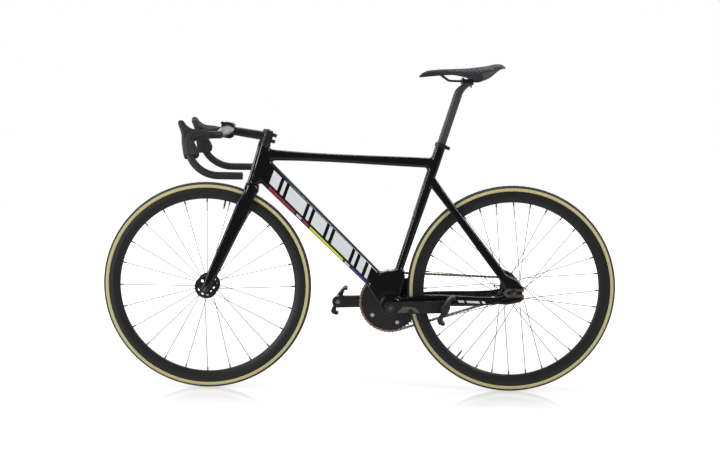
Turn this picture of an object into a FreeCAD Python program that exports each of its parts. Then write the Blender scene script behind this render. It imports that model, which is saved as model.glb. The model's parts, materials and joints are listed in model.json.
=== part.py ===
import FreeCAD, Part
import math
import os
import re
import Sketcher
from FreeCAD import Placement, Rotation, Vector

# A fixed gear track bicycle, standing on its tyres.
# Millimetres, +X forward, +Y to the rider's left, +Z up, origin on the ground midway between the axles.

# Driving dimensions: name, size, meaning
SIZES = [
    ("wheelbase", 976, "front axle to rear axle"),
    ("wheel_radius", 334, "axle to ground"),
    ("tyre_section", 23, "tyre diameter across its own section"),
    ("rim_depth", 35.5, "rim height from its inner edge to the tyre"),
    ("rim_width", 22.6, "rim width at its widest"),
    ("rim_bed_width", 19, "width of the bed that the tyre is glued in"),
    ("rim_nose_width", 11, "flat width of the rim's inner edge"),
    ("bracket_drop", 54, "crank axis below the axles"),
    ("head_angle", 74, "steering axis above the horizontal, degrees"),
    ("fork_offset", 50, "front axle ahead of the steering axis"),
    ("fork_length", 359, "front axle to crown seat along the steering axis"),
    ("seat_angle", 72.5, "seat tube above the horizontal, degrees"),
    ("seat_axis_lead", 9, "seat tube axis ahead of the crank axis"),
    ("head_tube_length", 126, "head tube between its end faces"),
    ("head_tube_radius", 19.5, "head tube at its waist"),
    ("head_tube_end_radius", 21, "head tube at its bearing ends"),
    ("head_bearing_radius", 18, "outside of the headset bearings"),
    ("head_bearing_height", 8, "headset bearing along the steering axis"),
    ("head_clearance", 0.5, "gap between the head tube and what turns above and below it"),
    ("steerer_radius", 12.7, "outside of the steerer"),
    ("top_tube_join_head", 96, "top tube axis up the steering axis from the crown seat"),
    ("top_tube_join_seat", 479, "top tube axis up the seat tube from the crank height"),
    ("top_tube_depth", 32, "top tube height"),
    ("top_tube_width", 30, "top tube width"),
    ("down_tube_join_head", 62, "down tube axis up the steering axis from the crown seat"),
    ("down_tube_depth_head", 74, "down tube depth at the head tube"),
    ("down_tube_depth_low", 61, "down tube depth at the bracket"),
    ("down_tube_width", 38, "down tube width"),
    ("down_tube_foot_ahead", 50, "down tube foot ahead of the crank axis"),
    ("down_tube_foot_rise", 80, "down tube foot above the crank axis"),
    ("seat_tube_length", 542, "seat tube top from the crank height"),
    ("seat_tube_depth_top", 33, "seat tube depth at the clamp"),
    ("seat_tube_depth_low", 26, "seat tube depth at the bracket"),
    ("seat_tube_width", 29, "seat tube width"),
    ("bracket_shell_radius", 31, "outside of the bottom bracket shell"),
    ("bracket_shell_width", 68, "bottom bracket shell along the crank axis"),
    ("bracket_web_width", 44, "width of the moulded web above the shell"),
    ("bracket_bearing_radius", 20, "outside of the bottom bracket bearings"),
    ("bracket_bearing_width", 10, "bottom bracket bearing along the crank axis"),
    ("chainstay_depth", 36, "chainstay height behind the tyre's edge"),
    ("chainstay_width", 16, "chainstay width"),
    ("seatstay_depth", 25, "seatstay depth"),
    ("seatstay_width", 13, "seatstay width"),
    ("seatstay_join_seat", 428, "seatstay top up the seat tube from the crank height"),
    ("rear_hub_spacing", 120, "between the inner faces of the rear ends"),
    ("dropout_thickness", 9, "rear end along the axle"),
    ("slot_length", 38, "axle slot from its closed end to the tail"),
    ("plate_thickness", 2.5, "steel wear plate on each rear end"),
    ("front_hub_spacing", 100, "between the inner faces of the fork tips"),
    ("fork_tip_thickness", 7, "fork tip along the axle"),
    ("fork_tip_radius", 14, "fork tip round the axle"),
    ("fork_blade_depth", 48, "fork blade depth at the crown"),
    ("fork_blade_width", 16, "fork blade width at the crown"),
    ("fork_blade_depth_low", 30, "fork blade depth above the tip"),
    ("fork_inside_width", 40, "between the blades at the tyre"),
    ("tyre_gap", 4, "between the front tyre and the fork crown"),
    ("front_axle_radius", 4.5, "front axle"),
    ("rear_axle_radius", 5, "rear axle"),
    ("axle_overhang", 2, "axle thread past its nut"),
    ("axle_pilot_length", 6, "plain axle end past its thread"),
    ("axle_pilot_step", 1, "how much slimmer in radius the plain axle end is"),
    ("nut_height", 9, "axle nut along the axle"),
    ("nut_radius", 9, "axle nut corner radius"),
    ("running_clearance", 0.05, "radial gap between a bearing and its shaft"),
    ("bolt_radius", 2.5, "clamp bolts"),
    ("bolt_gap", 0.05, "radial gap between a clamp bolt and its hole"),
    ("bolt_head_radius", 4, "clamp bolt heads"),
    ("front_flange_radius", 37, "front hub flange"),
    ("rear_flange_radius", 33, "rear hub flange"),
    ("flange_thickness", 3, "hub flange along the axle"),
    ("front_flange_spread", 63, "between the middles of the front hub flanges"),
    ("rear_flange_spread", 62, "between the middles of the rear hub flanges"),
    ("hub_barrel_radius", 12, "hub body between the flanges"),
    ("hub_boss_radius", 16, "hub body outside the flanges"),
    ("hub_bearing_radius", 13, "outside of the hub bearings"),
    ("hub_bearing_width", 9, "hub bearing along the axle"),
    ("hub_half_width", 46, "hub end from the wheel's middle"),
    ("flange_window_radius", 5, "lightening hole in the front flange"),
    ("front_spokes", 24, "spokes in the front wheel"),
    ("rear_spokes", 32, "spokes in the rear wheel"),
    ("spoke_radius", 1, "spoke"),
    ("spoke_inset", 3.5, "spoke hole from the flange edge"),
    ("spoke_gap", 0.05, "gap between a spoke and the flange it lies on"),
    ("nipple_radius", 2.2, "spoke nipple"),
    ("nipple_length", 11, "spoke nipple outside the rim"),
    ("valve_radius", 3, "valve stem"),
    ("valve_length", 26, "valve stem inside the rim"),
    ("ring_teeth", 48, "chainring teeth"),
    ("sprocket_teeth", 15, "sprocket teeth"),
    ("chain_links", 94, "chain length in pitches"),
    ("chain_pitch", 12.7, "pin to pin"),
    ("chain_line", 42, "chain from the bicycle's middle"),
    ("chain_inner_width", 3.5, "between the inner plates"),
    ("chain_plate", 1, "chain plate thickness"),
    ("roller_radius", 3.85, "chain roller"),
    ("pin_radius", 1.8, "chain pin"),
    ("tooth_thickness", 2.8, "chainring and sprocket teeth along the axle"),
    ("tooth_height", 3, "tooth tip past the pitch circle"),
    ("tooth_mouth", 13, "tooth gap across at its mouth"),
    ("mesh_clearance", 0.35, "gap between a roller and its tooth gap"),
    ("ring_bolt_circle", 144, "chainring bolt circle diameter"),
    ("ring_bolts", 5, "chainring bolts"),
    ("ring_bolt_radius", 4, "chainring bolt"),
    ("crank_length", 170, "crank axis to pedal axis"),
    ("crank_angle", -2, "right crank above the horizontal, degrees"),
    ("crank_depth", 38, "crank arm depth"),
    ("crank_thickness", 15, "crank arm along the crank axis"),
    ("crank_inner_face", 58, "crank arm inner face from the bicycle's middle"),
    ("crank_boss_radius", 20, "crank boss round the spindle"),
    ("spindle_radius", 12, "crank spindle"),
    ("crank_cap_radius", 13.5, "crank bolt cap"),
    ("pedal_spindle_radius", 5, "pedal spindle inside the pedal"),
    ("pedal_gap", 8, "crank outer face to pedal body"),
    ("pedal_width", 50, "pedal body along its spindle"),
    ("pedal_tilt", 110, "pedal nose above the horizontal, degrees"),
    ("latch_gap", 0.4, "gap between the pedal body and its latch"),
    ("post_depth", 27, "seatpost depth"),
    ("post_width", 22, "seatpost width"),
    ("post_insertion", 130, "seatpost below the seat tube's top"),
    ("post_height", 160, "straight seatpost above the seat tube's top"),
    ("post_clearance", 0.08, "gap between seatpost and seat tube"),
    ("post_travel", 50, "how far the seatpost can still go down"),
    ("collar_height", 13, "seat clamp along the seat tube"),
    ("collar_wall", 2.6, "seat clamp wall"),
    ("rail_radius", 3.5, "saddle rail"),
    ("rail_spread", 44, "between the saddle rails"),
    ("rail_rise", 46, "saddle rails above the straight seatpost's end"),
    ("saddle_setback", 29, "rail clamp behind the straight seatpost's end"),
    ("saddle_length", 268, "saddle nose to tail"),
    ("saddle_width", 136, "saddle at its widest"),
    ("saddle_pad", 12, "saddle padding at the middle"),
    ("saddle_base", 2.7, "saddle base thickness"),
    ("stem_length", 123, "handlebar clamp ahead of the steering axis"),
    ("stem_height", 34, "stem clamp along the steerer"),
    ("stem_drop", 16, "handlebar clamp below the middle of the steerer clamp"),
    ("stem_wall", 4.5, "stem wall round the steerer"),
    ("stem_width", 31, "stem arm width"),
    ("spacer_height", 12, "cone between head tube and stem"),
    ("clamp_width", 42, "handlebar clamp across"),
    ("clamp_height", 50, "handlebar clamp height with its bolt ears"),
    ("clamp_depth", 42, "handlebar clamp fore and aft"),
    ("bar_clamp_radius", 15.9, "handlebar inside the clamp"),
    ("wing_chord", 40, "flat handlebar top fore and aft"),
    ("wing_thickness", 18, "flat handlebar top"),
    ("wing_half_width", 112, "end of the flat handlebar top from the middle"),
    ("wing_droop", 9, "end of the flat handlebar top below its middle"),
    ("wing_sweep", 9, "end of the flat handlebar top ahead of its middle"),
    ("grip_radius", 11.5, "handlebar drop with its tape"),
    ("hood_half_width", 142, "hood from the middle"),
    ("drop_half_width", 183, "drop end from the middle"),
    ("bar_reach", 104, "drop front ahead of the handlebar clamp"),
    ("bar_drop", 121, "drop end below the hoods"),
    ("drop_bend_radius", 97, "bend of the drop"),
    ("drop_length", 167, "drop end behind the drop front"),
    ("hood_width", 30, "hood across"),
]

doc = FreeCAD.newDocument("track_bicycle")
sheet = doc.addObject("Spreadsheet::Sheet", "Sizes")
for row, (alias, number, meaning) in enumerate(SIZES, 1):
    sheet.set(f"A{row}", meaning)
    sheet.set(f"B{row}", str(number))
    sheet.setAlias(f"B{row}", alias)
doc.recompute()
size = {alias: float(getattr(sheet, alias)) for alias, number, meaning in SIZES}
made = []

UP = Vector(0, 0, 1)
LEFT = Vector(0, 1, 0)
AHEAD = Vector(1, 0, 0)


# Helpers: formulas and placements

def linked(formula):
    """A formula with each size's name turned into a reference to its cell."""
    def reference(word):
        return f"Sizes.{word.group()}" if word.group() in size else word.group()
    return re.sub(r"[a-z_]+[a-z]", reference, formula)


def worth(formula):
    """The number that a formula, or a plain number, stands for."""
    if isinstance(formula, str):
        return float(sheet.evalExpression(linked(formula).replace("Sizes.", "")))
    return float(formula)


def bind(target, prop, formula):
    """Give a property a plain number, or bind it to the sheet."""
    if isinstance(formula, str):
        target.setExpression(prop, linked(formula))
    else:
        target.setExpression(prop, f"{formula:.9g}")


def facing(origin, along, side=LEFT):
    """A placement whose Z runs along one direction and whose Y is nearest to the side direction."""
    z = Vector(along).normalize()
    x = Vector(side).cross(z).normalize()
    return Placement(Vector(origin), Rotation(x, z.cross(x), z, "ZXY"))


def across(origin):
    """A placement for things that turn about the Y axis: Z to the left, X forward."""
    return Placement(Vector(origin), Rotation(AHEAD, Vector(0, 0, -1), LEFT, "ZXY"))


# Helpers: features

def keep(target, label):
    """Name a finished sub-part and put it on the list that is written out."""
    target.Label = label
    made.append(target)
    return target


def primitive(kind, place, **formulas):
    """A Part primitive with bound sizes."""
    shape = doc.addObject(f"Part::{kind}", kind)
    for prop, formula in formulas.items():
        bind(shape, prop, formula)
    shape.Placement = place
    return shape


def rod(place, radius, length):
    """A cylinder along the placement's Z, from its origin."""
    return primitive("Cylinder", place, Radius=radius, Height=length)


def cross_rod(point, radius, length):
    """A cylinder across the bicycle with its middle at a point."""
    half = worth(length) / 2
    return rod(across(Vector(point) - LEFT * half), radius, length)


def fuse(*shapes):
    joined = doc.addObject("Part::MultiFuse", "joined")
    joined.Shapes = list(shapes)
    joined.Refine = True
    return joined


def cut(base, *tools):
    """A shape less each of the tools."""
    for tool in tools:
        less = doc.addObject("Part::Cut", "less")
        less.Base = base
        less.Tool = tool
        base = less
    return base


def group(*shapes):
    """Several solids in one sub-part."""
    bundle = doc.addObject("Part::Compound", "group")
    bundle.Links = list(shapes)
    return bundle


def mirrored(source):
    """The same piece on the other side of the bicycle."""
    copy = doc.addObject("Part::Mirroring", "mirrored")
    copy.Source = source
    copy.Base = Vector()
    copy.Normal = LEFT
    return copy


def pair(left):
    """A piece and its mirror image as one sub-part."""
    return group(left, mirrored(left))


def coded(name, shape):
    """A shape that is worked out point by point."""
    feature = doc.addObject("Part::Feature", name)
    feature.Shape = shape
    return feature


def origin_part(body, role):
    """A plane or an axis of a body's own origin."""
    return next(part for part in body.Origin.OriginFeatures if part.Role == role)


def new_body(place):
    body = doc.addObject("PartDesign::Body", "body")
    body.Placement = place
    return body


def outline(body, role, corners, shift=None, tilt=0.0):
    """A closed sketch through corners (x, y) or (x, y, radius), where the radius bends the edge that follows.

    A positive radius has its centre to the left of the way along the outline, a negative one to the right.
    """
    sketch = body.newObject("Sketcher::SketchObject", "outline")
    sketch.AttachmentSupport = [(origin_part(body, role), "")]
    sketch.MapMode = "FlatFace"
    if shift:
        sketch.AttachmentOffset = Placement(Vector(), Rotation(Vector(0, 1, 0), tilt))
        for axis, formula in zip("xyz", shift):
            bind(sketch, f"AttachmentOffset.Base.{axis}", formula)
    points = [Vector(worth(corner[0]), worth(corner[1]), 0) for corner in corners]
    count = len(points)
    ends = []
    for index, corner in enumerate(corners):
        start = points[index]
        finish = points[(index + 1) % count]
        if len(corner) == 2:
            edge = sketch.addGeometry(Part.LineSegment(start, finish))
            ends.append((edge, 1, 2))
            continue
        bend = worth(corner[2])
        chord = finish - start
        reach = math.sqrt(max(bend * bend - chord.Length ** 2 / 4, 0))
        leftward = Vector(-chord.y, chord.x, 0).normalize()
        centre = start + chord * 0.5 + leftward * math.copysign(reach, bend)
        first, last = (start, finish) if bend > 0 else (finish, start)
        angles = [math.atan2(point.y - centre.y, point.x - centre.x) for point in (first, last)]
        circle = Part.Circle(centre, UP, abs(bend))
        edge = sketch.addGeometry(Part.ArcOfCircle(circle, angles[0], angles[1]))
        ends.append((edge, 1, 2) if bend > 0 else (edge, 2, 1))
    for index, (edge, begin, end) in enumerate(ends):
        after, after_begin, after_end = ends[(index + 1) % count]
        sketch.addConstraint(Sketcher.Constraint("Coincident", edge, end, after, after_begin))
        for kind, formula in zip(("DistanceX", "DistanceY"), corners[index]):
            number = sketch.addConstraint(Sketcher.Constraint(kind, -1, 1, edge, begin, worth(formula)))
            bind(sketch, f"Constraints[{number}]", formula)
        if len(corners[index]) == 3:
            radius = corners[index][2]
            plain = radius.lstrip("-") if isinstance(radius, str) else abs(radius)
            number = sketch.addConstraint(Sketcher.Constraint("Radius", edge, abs(worth(radius))))
            bind(sketch, f"Constraints[{number}]", plain)
    return sketch


def turned(place, corners):
    """A turned piece: each corner is (radius, distance along the placement's Z)."""
    body = new_body(place)
    profile = outline(body, "XZ_Plane", corners)
    spin = body.newObject("PartDesign::Revolution", "turned")
    spin.Profile = profile
    spin.ReferenceAxis = (profile, ["V_Axis"])
    spin.Angle = 360
    body.Tip = spin
    return body


def plate(place, corners, thickness, role="XZ_Plane"):
    """A flat piece of an outline, half its thickness to each side of the sketch."""
    body = new_body(place)
    profile = outline(body, role, corners)
    pad = body.newObject("PartDesign::Pad", "plate")
    pad.Profile = profile
    pad.Midplane = True
    bind(pad, "Length", thickness)
    body.Tip = pad
    return body


def lofted(place, stations):
    """A solid through sections: each is ((x, y, z), tilt about the section's Y, corners)."""
    body = new_body(place)
    sections = [outline(body, "XY_Plane", corners, shift, tilt) for shift, tilt, corners in stations]
    loft = body.newObject("PartDesign::AdditiveLoft", "loft")
    loft.Profile = sections[0]
    loft.Sections = sections[1:]
    body.Tip = loft
    return body


def rounded(depth, width, share=0.46):
    """A rectangle with rounded corners, depth along X and width along Y."""
    a = f"({depth})/2"
    b = f"({width})/2"
    r = f"min({depth};{width})*{share}"
    return [(f"-{a}+{r}", f"-{b}"), (f"{a}-{r}", f"-{b}", r), (a, f"-{b}+{r}"), (a, f"{b}-{r}", r),
            (f"{a}-{r}", b), (f"-{a}+{r}", b, r), (f"-{a}", f"{b}-{r}"), (f"-{a}", f"-{b}+{r}", r)]


def tube(start, end, stations):
    """A rounded tube from start to end: each station is (share of the way, sideways shift, depth, width)."""
    way = Vector(end) - Vector(start)
    return lofted(facing(start, way), [((0, side, share * way.Length), 0, rounded(depth, width))
                                       for share, side, depth, width in stations])


def bent_path(points, bends):
    """A wire of straight runs joined by tangent arcs; each inner point has its own bend radius."""
    edges = []
    last = Vector(points[0])
    for before, corner, after, bend in zip(points, points[1:], points[2:], bends):
        back = (Vector(before) - Vector(corner)).normalize()
        onward = (Vector(after) - Vector(corner)).normalize()
        half_turn = (math.pi - back.getAngle(onward)) / 2
        setback = bend * math.tan(half_turn)
        first = Vector(corner) + back * setback
        finish = Vector(corner) + onward * setback
        inward = (back + onward).normalize()
        middle = Vector(corner) + inward * (bend / math.cos(half_turn) - bend)
        edges.append(Part.LineSegment(last, first).toShape())
        edges.append(Part.Arc(first, middle, finish).toShape())
        last = finish
    edges.append(Part.LineSegment(last, Vector(points[-1])).toShape())
    return Part.Wire(edges)


def bent_rod(points, bends, radius):
    """A round rod along a bent path."""
    path = bent_path(points, bends)
    start = Vector(points[0])
    ring = Part.Wire(Part.Circle(start, Vector(points[1]) - start, radius).toShape())
    return path.makePipeShell([ring], True, False)


def tube_along(start, end, outer, inner):
    """A plain sleeve between two points."""
    way = Vector(end) - Vector(start)
    sleeve = Part.makeCylinder(outer, way.Length, start, way)
    return sleeve.cut(Part.makeCylinder(inner, way.Length, start, way))


# The layout: axles, crank axis, steering axis, seat axis

front_axle = Vector(size["wheelbase"] / 2, 0, size["wheel_radius"])
rear_axle = Vector(-size["wheelbase"] / 2, 0, size["wheel_radius"])


def pitch_radius(teeth):
    return size["chain_pitch"] / (2 * math.sin(math.pi / teeth))


ring_radius = pitch_radius(size["ring_teeth"])
sprocket_radius = pitch_radius(size["sprocket_teeth"])


def chain_parts(distance):
    """Wrap of ring and sprocket, and one straight run, in pitches, for a distance between the axes."""
    lean = math.asin((ring_radius - sprocket_radius) / distance)
    run = distance * math.cos(lean) / size["chain_pitch"]
    ring_wrap = (math.pi + 2 * lean) * size["ring_teeth"] / (2 * math.pi)
    sprocket_wrap = (math.pi - 2 * lean) * size["sprocket_teeth"] / (2 * math.pi)
    return lean, run, ring_wrap, sprocket_wrap


def tight_distance():
    """The distance between the axes at which the whole chain is just tight."""
    near = ring_radius + sprocket_radius
    far = size["chain_links"] * size["chain_pitch"]
    for halving in range(60):
        middle = (near + far) / 2
        lean, run, ring_wrap, sprocket_wrap = chain_parts(middle)
        if 2 * run + ring_wrap + sprocket_wrap > size["chain_links"]:
            far = middle
        else:
            near = middle
    return near


chain_distance = tight_distance()
bracket_height = size["wheel_radius"] - size["bracket_drop"]
bracket = Vector(rear_axle.x + math.sqrt(chain_distance ** 2 - size["bracket_drop"] ** 2), 0, bracket_height)

head_tilt = math.radians(size["head_angle"])
steer_up = Vector(-math.cos(head_tilt), 0, math.sin(head_tilt))
steer_ahead = Vector(math.sin(head_tilt), 0, math.cos(head_tilt))
crown_seat = front_axle - steer_ahead * size["fork_offset"] + steer_up * size["fork_length"]


def on_steerer(up, ahead=0.0, side=0.0):
    """A point given from the crown seat, along the steering axis, ahead of it and to its left."""
    return crown_seat + steer_up * up + steer_ahead * ahead + LEFT * side


seat_tilt = math.radians(size["seat_angle"])
seat_up = Vector(-math.cos(seat_tilt), 0, math.sin(seat_tilt))
seat_foot = bracket + AHEAD * size["seat_axis_lead"]
seat_lean = 90 - size["seat_angle"]


def on_seat_tube(up):
    return seat_foot + seat_up * up


# Frame: head tube and its bearings

head_low = "head_clearance"
head_high = "head_clearance+head_tube_length"
head_flare = 20
head_outer = turned(facing(crown_seat, steer_up), [
    (0, head_low), ("head_tube_end_radius", head_low),
    ("head_tube_radius", f"head_clearance+{head_flare}"),
    ("head_tube_radius", f"{head_high}-{head_flare}"),
    ("head_tube_end_radius-0.5", head_high), (0, head_high)])
head_bore = rod(facing(on_steerer(0), steer_up), "head_bearing_radius", "head_tube_length+2*head_clearance")
keep(cut(head_outer, head_bore), "head_tube")

bearing_starts = [size["head_clearance"],
                  size["head_clearance"] + size["head_tube_length"] - size["head_bearing_height"]]
head_bearings = [turned(facing(on_steerer(start), steer_up), [
    ("steerer_radius+running_clearance", 0), ("head_bearing_radius", 0),
    ("head_bearing_radius", "head_bearing_height"),
    ("steerer_radius+running_clearance", "head_bearing_height")]) for start in bearing_starts]

# Frame: bottom bracket shell with the web moulded above it

shell = cross_rod(bracket, "bracket_shell_radius", "bracket_shell_width")
web = plate(Placement(bracket, Rotation()), [
    (-14, -18), (24, -14), ("down_tube_foot_ahead+23", "down_tube_foot_rise-20"),
    ("down_tube_foot_ahead-19", "down_tube_foot_rise+25"),
    (10, "down_tube_foot_rise+32", -40), (-21, "down_tube_foot_rise+38"),
    (-46, "down_tube_foot_rise+29"), (-30, 20)], "bracket_web_width")
bracket_outer = fuse(shell, web)
bracket_bore = cross_rod(bracket, "bracket_bearing_radius", "bracket_shell_width")
keep(cut(bracket_outer, bracket_bore), "bottom_bracket_shell")

bracket_bearing = turned(across(bracket), [
    ("spindle_radius+running_clearance", "bracket_shell_width/2-bracket_bearing_width"),
    ("bracket_bearing_radius", "bracket_shell_width/2-bracket_bearing_width"),
    ("bracket_bearing_radius", "bracket_shell_width/2"),
    ("spindle_radius+running_clearance", "bracket_shell_width/2")])
keep(group(*head_bearings, bracket_bearing, mirrored(bracket_bearing)), "frame_bearings")

# Frame: seat tube

seat_outer = tube(on_seat_tube(45), on_seat_tube(size["seat_tube_length"]), [
    (0, 0, "seat_tube_depth_low", "seat_tube_width-3"),
    (0.5, 0, "(seat_tube_depth_low+seat_tube_depth_top)/2", "seat_tube_width-1"),
    (0.85, 0, "seat_tube_depth_top", "seat_tube_width"),
    (1, 0, "seat_tube_depth_top", "seat_tube_width")])
post_bore_foot = size["seat_tube_length"] - size["post_insertion"] - size["post_travel"] - 5
post_bore = tube(on_seat_tube(post_bore_foot), on_seat_tube(size["seat_tube_length"] + 1), [
    (share, 0, "post_depth+2*post_clearance", "post_width+2*post_clearance") for share in (0, 1)])
keep(cut(seat_outer, post_bore, bracket_outer), "seat_tube")

# Frame: top tube and down tube

top_tube_end = on_seat_tube(size["top_tube_join_seat"]) + AHEAD * 3
top_tube_outer = tube(on_steerer(size["top_tube_join_head"]), top_tube_end, [
    (0, 0, "top_tube_depth+8", "top_tube_width"), (0.14, 0, "top_tube_depth", "top_tube_width"),
    (0.9, 0, "top_tube_depth", "top_tube_width-4"), (1, 0, "top_tube_depth", "top_tube_width-4")])
keep(cut(top_tube_outer, head_outer, seat_outer), "top_tube")

down_tube_foot = bracket + AHEAD * size["down_tube_foot_ahead"] + UP * size["down_tube_foot_rise"]
down_tube_outer = tube(on_steerer(size["down_tube_join_head"]), down_tube_foot, [
    (0, 0, "down_tube_depth_head", "down_tube_width-10"),
    (0.16, 0, "down_tube_depth_head-2", "down_tube_width"),
    (0.6, 0, "(down_tube_depth_head+down_tube_depth_low)/2", "down_tube_width"),
    (1, 0, "down_tube_depth_low", "down_tube_width")])
keep(cut(down_tube_outer, head_outer, top_tube_outer, bracket_outer), "down_tube")

# Frame: rear ends with axle slots open to the rear, and their wear plates

dropout_middle = size["rear_hub_spacing"] / 2 + size["dropout_thickness"] / 2
slot_half = "rear_axle_radius+0.2"
slot_front = 17
slot_tail = f"{slot_front}-slot_length-rear_axle_radius"
chainstay_seat_reach = 50
chainstay_seat_height = -25.5
chainstay_seat_half = "(chainstay_depth-13)/2"
seatstay_head = on_seat_tube(size["seatstay_join_seat"])
seatstay_way = (rear_axle + AHEAD * 17 + UP * 28 - seatstay_head).normalize()
seatstay_foot = rear_axle + AHEAD * 17 + UP * 28 - seatstay_way * 25
seatstay_square = LEFT.cross(seatstay_way) * ((size["seatstay_depth"] + 2) / 2)
seatstay_corners = [((corner - rear_axle).x, (corner - rear_axle).z)
                    for corner in (seatstay_foot - seatstay_square, seatstay_foot + seatstay_square)]
dropout = plate(Placement(rear_axle + LEFT * dropout_middle, Rotation()), [
    max(seatstay_corners), (25, 8), (25, -8),
    (chainstay_seat_reach, f"{chainstay_seat_height}+{chainstay_seat_half}"),
    (chainstay_seat_reach, f"{chainstay_seat_height}-{chainstay_seat_half}"),
    (20, -39), (-23, -30), (f"{slot_tail}-8", -20),
    (f"{slot_tail}-8", f"-({slot_half})"), (slot_front, f"-({slot_half})", "rear_axle_radius+0.3"),
    (slot_front, slot_half), (f"{slot_tail}-8", slot_half), (f"{slot_tail}-6", 16), (-11, 41),
    min(seatstay_corners)], "dropout_thickness")
keep(pair(dropout), "dropouts")

plate_middle = size["rear_hub_spacing"] / 2 + size["dropout_thickness"] + size["plate_thickness"] / 2
plate_half_height = 13.5
wear_plate = plate(Placement(rear_axle + LEFT * plate_middle, Rotation()), [
    (slot_front, -plate_half_height, plate_half_height + 0.1), (slot_front, plate_half_height),
    (f"{slot_tail}-7", plate_half_height), (f"{slot_tail}-7", slot_half),
    (slot_front, slot_half, "-(rear_axle_radius+0.3)"), (slot_front, f"-({slot_half})"),
    (f"{slot_tail}-7", f"-({slot_half})"), (f"{slot_tail}-7", -plate_half_height)], "plate_thickness")
keep(pair(wear_plate), "dropout_plates")

adjuster_seat = rear_axle + AHEAD * 25 + LEFT * dropout_middle
adjuster_length = 22
adjuster_shank = rod(facing(adjuster_seat, AHEAD), 1.6, adjuster_length)
adjuster_bar = rod(facing(adjuster_seat + AHEAD * adjuster_length - UP * 5.5, UP), 1.6, 11)
keep(pair(fuse(adjuster_shank, adjuster_bar)), "axle_adjusters")

# Frame: chainstays and seatstays

stay_end = dropout_middle
rearward = rear_axle.x - bracket.x
chainstay = lofted(facing(bracket, -AHEAD), [
    ((height, side, back), 0, rounded(depth, width)) for height, side, back, depth, width in (
        (3, 24, 10, "chainstay_depth-8", "chainstay_width"),
        (18, 27, 100, "chainstay_depth", "chainstay_width"),
        (22, 46, 0.58 * -rearward, "chainstay_depth-3", "chainstay_width-1"),
        (size["bracket_drop"] + chainstay_seat_height, stay_end, -rearward - chainstay_seat_reach,
         "chainstay_depth-13", "dropout_thickness"))])
keep(pair(cut(chainstay, bracket_outer)), "chainstays")

seatstay = tube(seatstay_head, seatstay_foot, [
    (0, 7, "seatstay_depth+6", "seatstay_width-2"), (0.2, 24, "seatstay_depth", "seatstay_width"),
    (0.6, 43, "seatstay_depth+1", "seatstay_width-1"),
    (1, stay_end, "seatstay_depth+2", "dropout_thickness")])
keep(pair(cut(seatstay, seat_outer)), "seatstays")

# Seat clamp at the top of the seat tube

collar_foot = size["seat_tube_length"] - size["collar_height"] + 2
collar_place = facing(on_seat_tube(collar_foot), seat_up)
collar_ring = tube(on_seat_tube(collar_foot), on_seat_tube(collar_foot + size["collar_height"]), [
    (share, 0, "seat_tube_depth_top+2*collar_wall", "seat_tube_width+2*collar_wall") for share in (0, 1)])
ear_reach = 11
collar_ears = plate(collar_place, [
    ("-seat_tube_depth_top/2", -6), ("-seat_tube_depth_top/2", 6),
    (f"-seat_tube_depth_top/2-collar_wall-{ear_reach}", 6),
    (f"-seat_tube_depth_top/2-collar_wall-{ear_reach}", -6)], "2*collar_height-4", "XY_Plane")
collar_ear_room = tube(on_seat_tube(collar_foot - size["collar_height"]), on_seat_tube(collar_foot), [
    (share, 0, 90, 60) for share in (0, 1)])
split_width = 2.4
split_corner = collar_place.multVec(Vector(-60, -split_width / 2, -20))
collar_split = primitive("Box", Placement(split_corner, collar_place.Rotation), Length=48, Width=split_width,
                         Height=60)
clamp_bolt_spot = collar_place.multVec(Vector(-size["seat_tube_depth_top"] / 2 - size["collar_wall"] - 5.5, 0,
                                              size["collar_height"] / 2 - 1))
clamp_bolt_hole = cross_rod(clamp_bolt_spot, "bolt_radius+bolt_gap", 30)
collar_bore = tube(on_seat_tube(collar_foot - 2), on_seat_tube(size["seat_tube_length"] + 5), [
    (share, 0, "post_depth+4*post_clearance", "post_width+4*post_clearance") for share in (0, 1)])
collar = fuse(collar_ring, collar_ears)
keep(cut(collar, collar_ear_room, seat_outer, collar_bore, collar_split, clamp_bolt_hole), "seat_clamp")
clamp_bolt = fuse(cross_rod(clamp_bolt_spot, "bolt_radius", 22),
                  rod(across(clamp_bolt_spot + LEFT * 6), "bolt_head_radius", 4.5))
keep(clamp_bolt, "seat_clamp_bolt")

# Seatpost with its head, rail clamp and bolts

post_top = size["seat_tube_length"] + size["post_height"]
post_foot = size["seat_tube_length"] - size["post_insertion"]
straight_post = tube(on_seat_tube(post_foot), on_seat_tube(post_top), [
    (share, 0, "post_depth", "post_width") for share in (0, 1)])
rail_middle = on_seat_tube(post_top) - AHEAD * size["saddle_setback"] + UP * size["rail_rise"]
cradle_length = 38
head_top = rail_middle - UP * 12
post_frame = facing(on_seat_tube(post_top), seat_up)
head_top_local = post_frame.inverse().multVec(head_top)
post_head = lofted(post_frame, [
    ((0, 0, 0), 0, rounded("post_depth", "post_width")),
    ((-2, 0, 0.45 * head_top_local.z), 0.6 * seat_lean, rounded("post_depth+1", "post_width+2")),
    ((head_top_local.x, 0, head_top_local.z), seat_lean, rounded(cradle_length - 4, "post_width+6"))])
cradle_corners = rounded(cradle_length, "rail_spread+2*rail_radius+4", 0.12)
cradle = plate(Placement(rail_middle - UP * 9, Rotation()), cradle_corners, 6, "XY_Plane")
rail_bolt_spots = [rail_middle + AHEAD * reach for reach in (-13, 13)]
rail_bolt_holes = [rod(facing(spot - UP * 40, UP), "bolt_radius+2*bolt_gap", 70) for spot in rail_bolt_spots]
keep(cut(fuse(straight_post, post_head, cradle), *rail_bolt_holes), "seatpost")

rail_half = size["rail_spread"] / 2
rail_points = [(92, 26, 9), (58, 1, 14), (30, 0, rail_half), (-40, 0, rail_half), (-84, 40, rail_half + 9)]
rail_path = [rail_middle + AHEAD * ahead + UP * up + LEFT * side for ahead, up, side in rail_points]
rail_bar = coded("rail", bent_rod(rail_path, [24, 24, 24], size["rail_radius"]))

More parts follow.
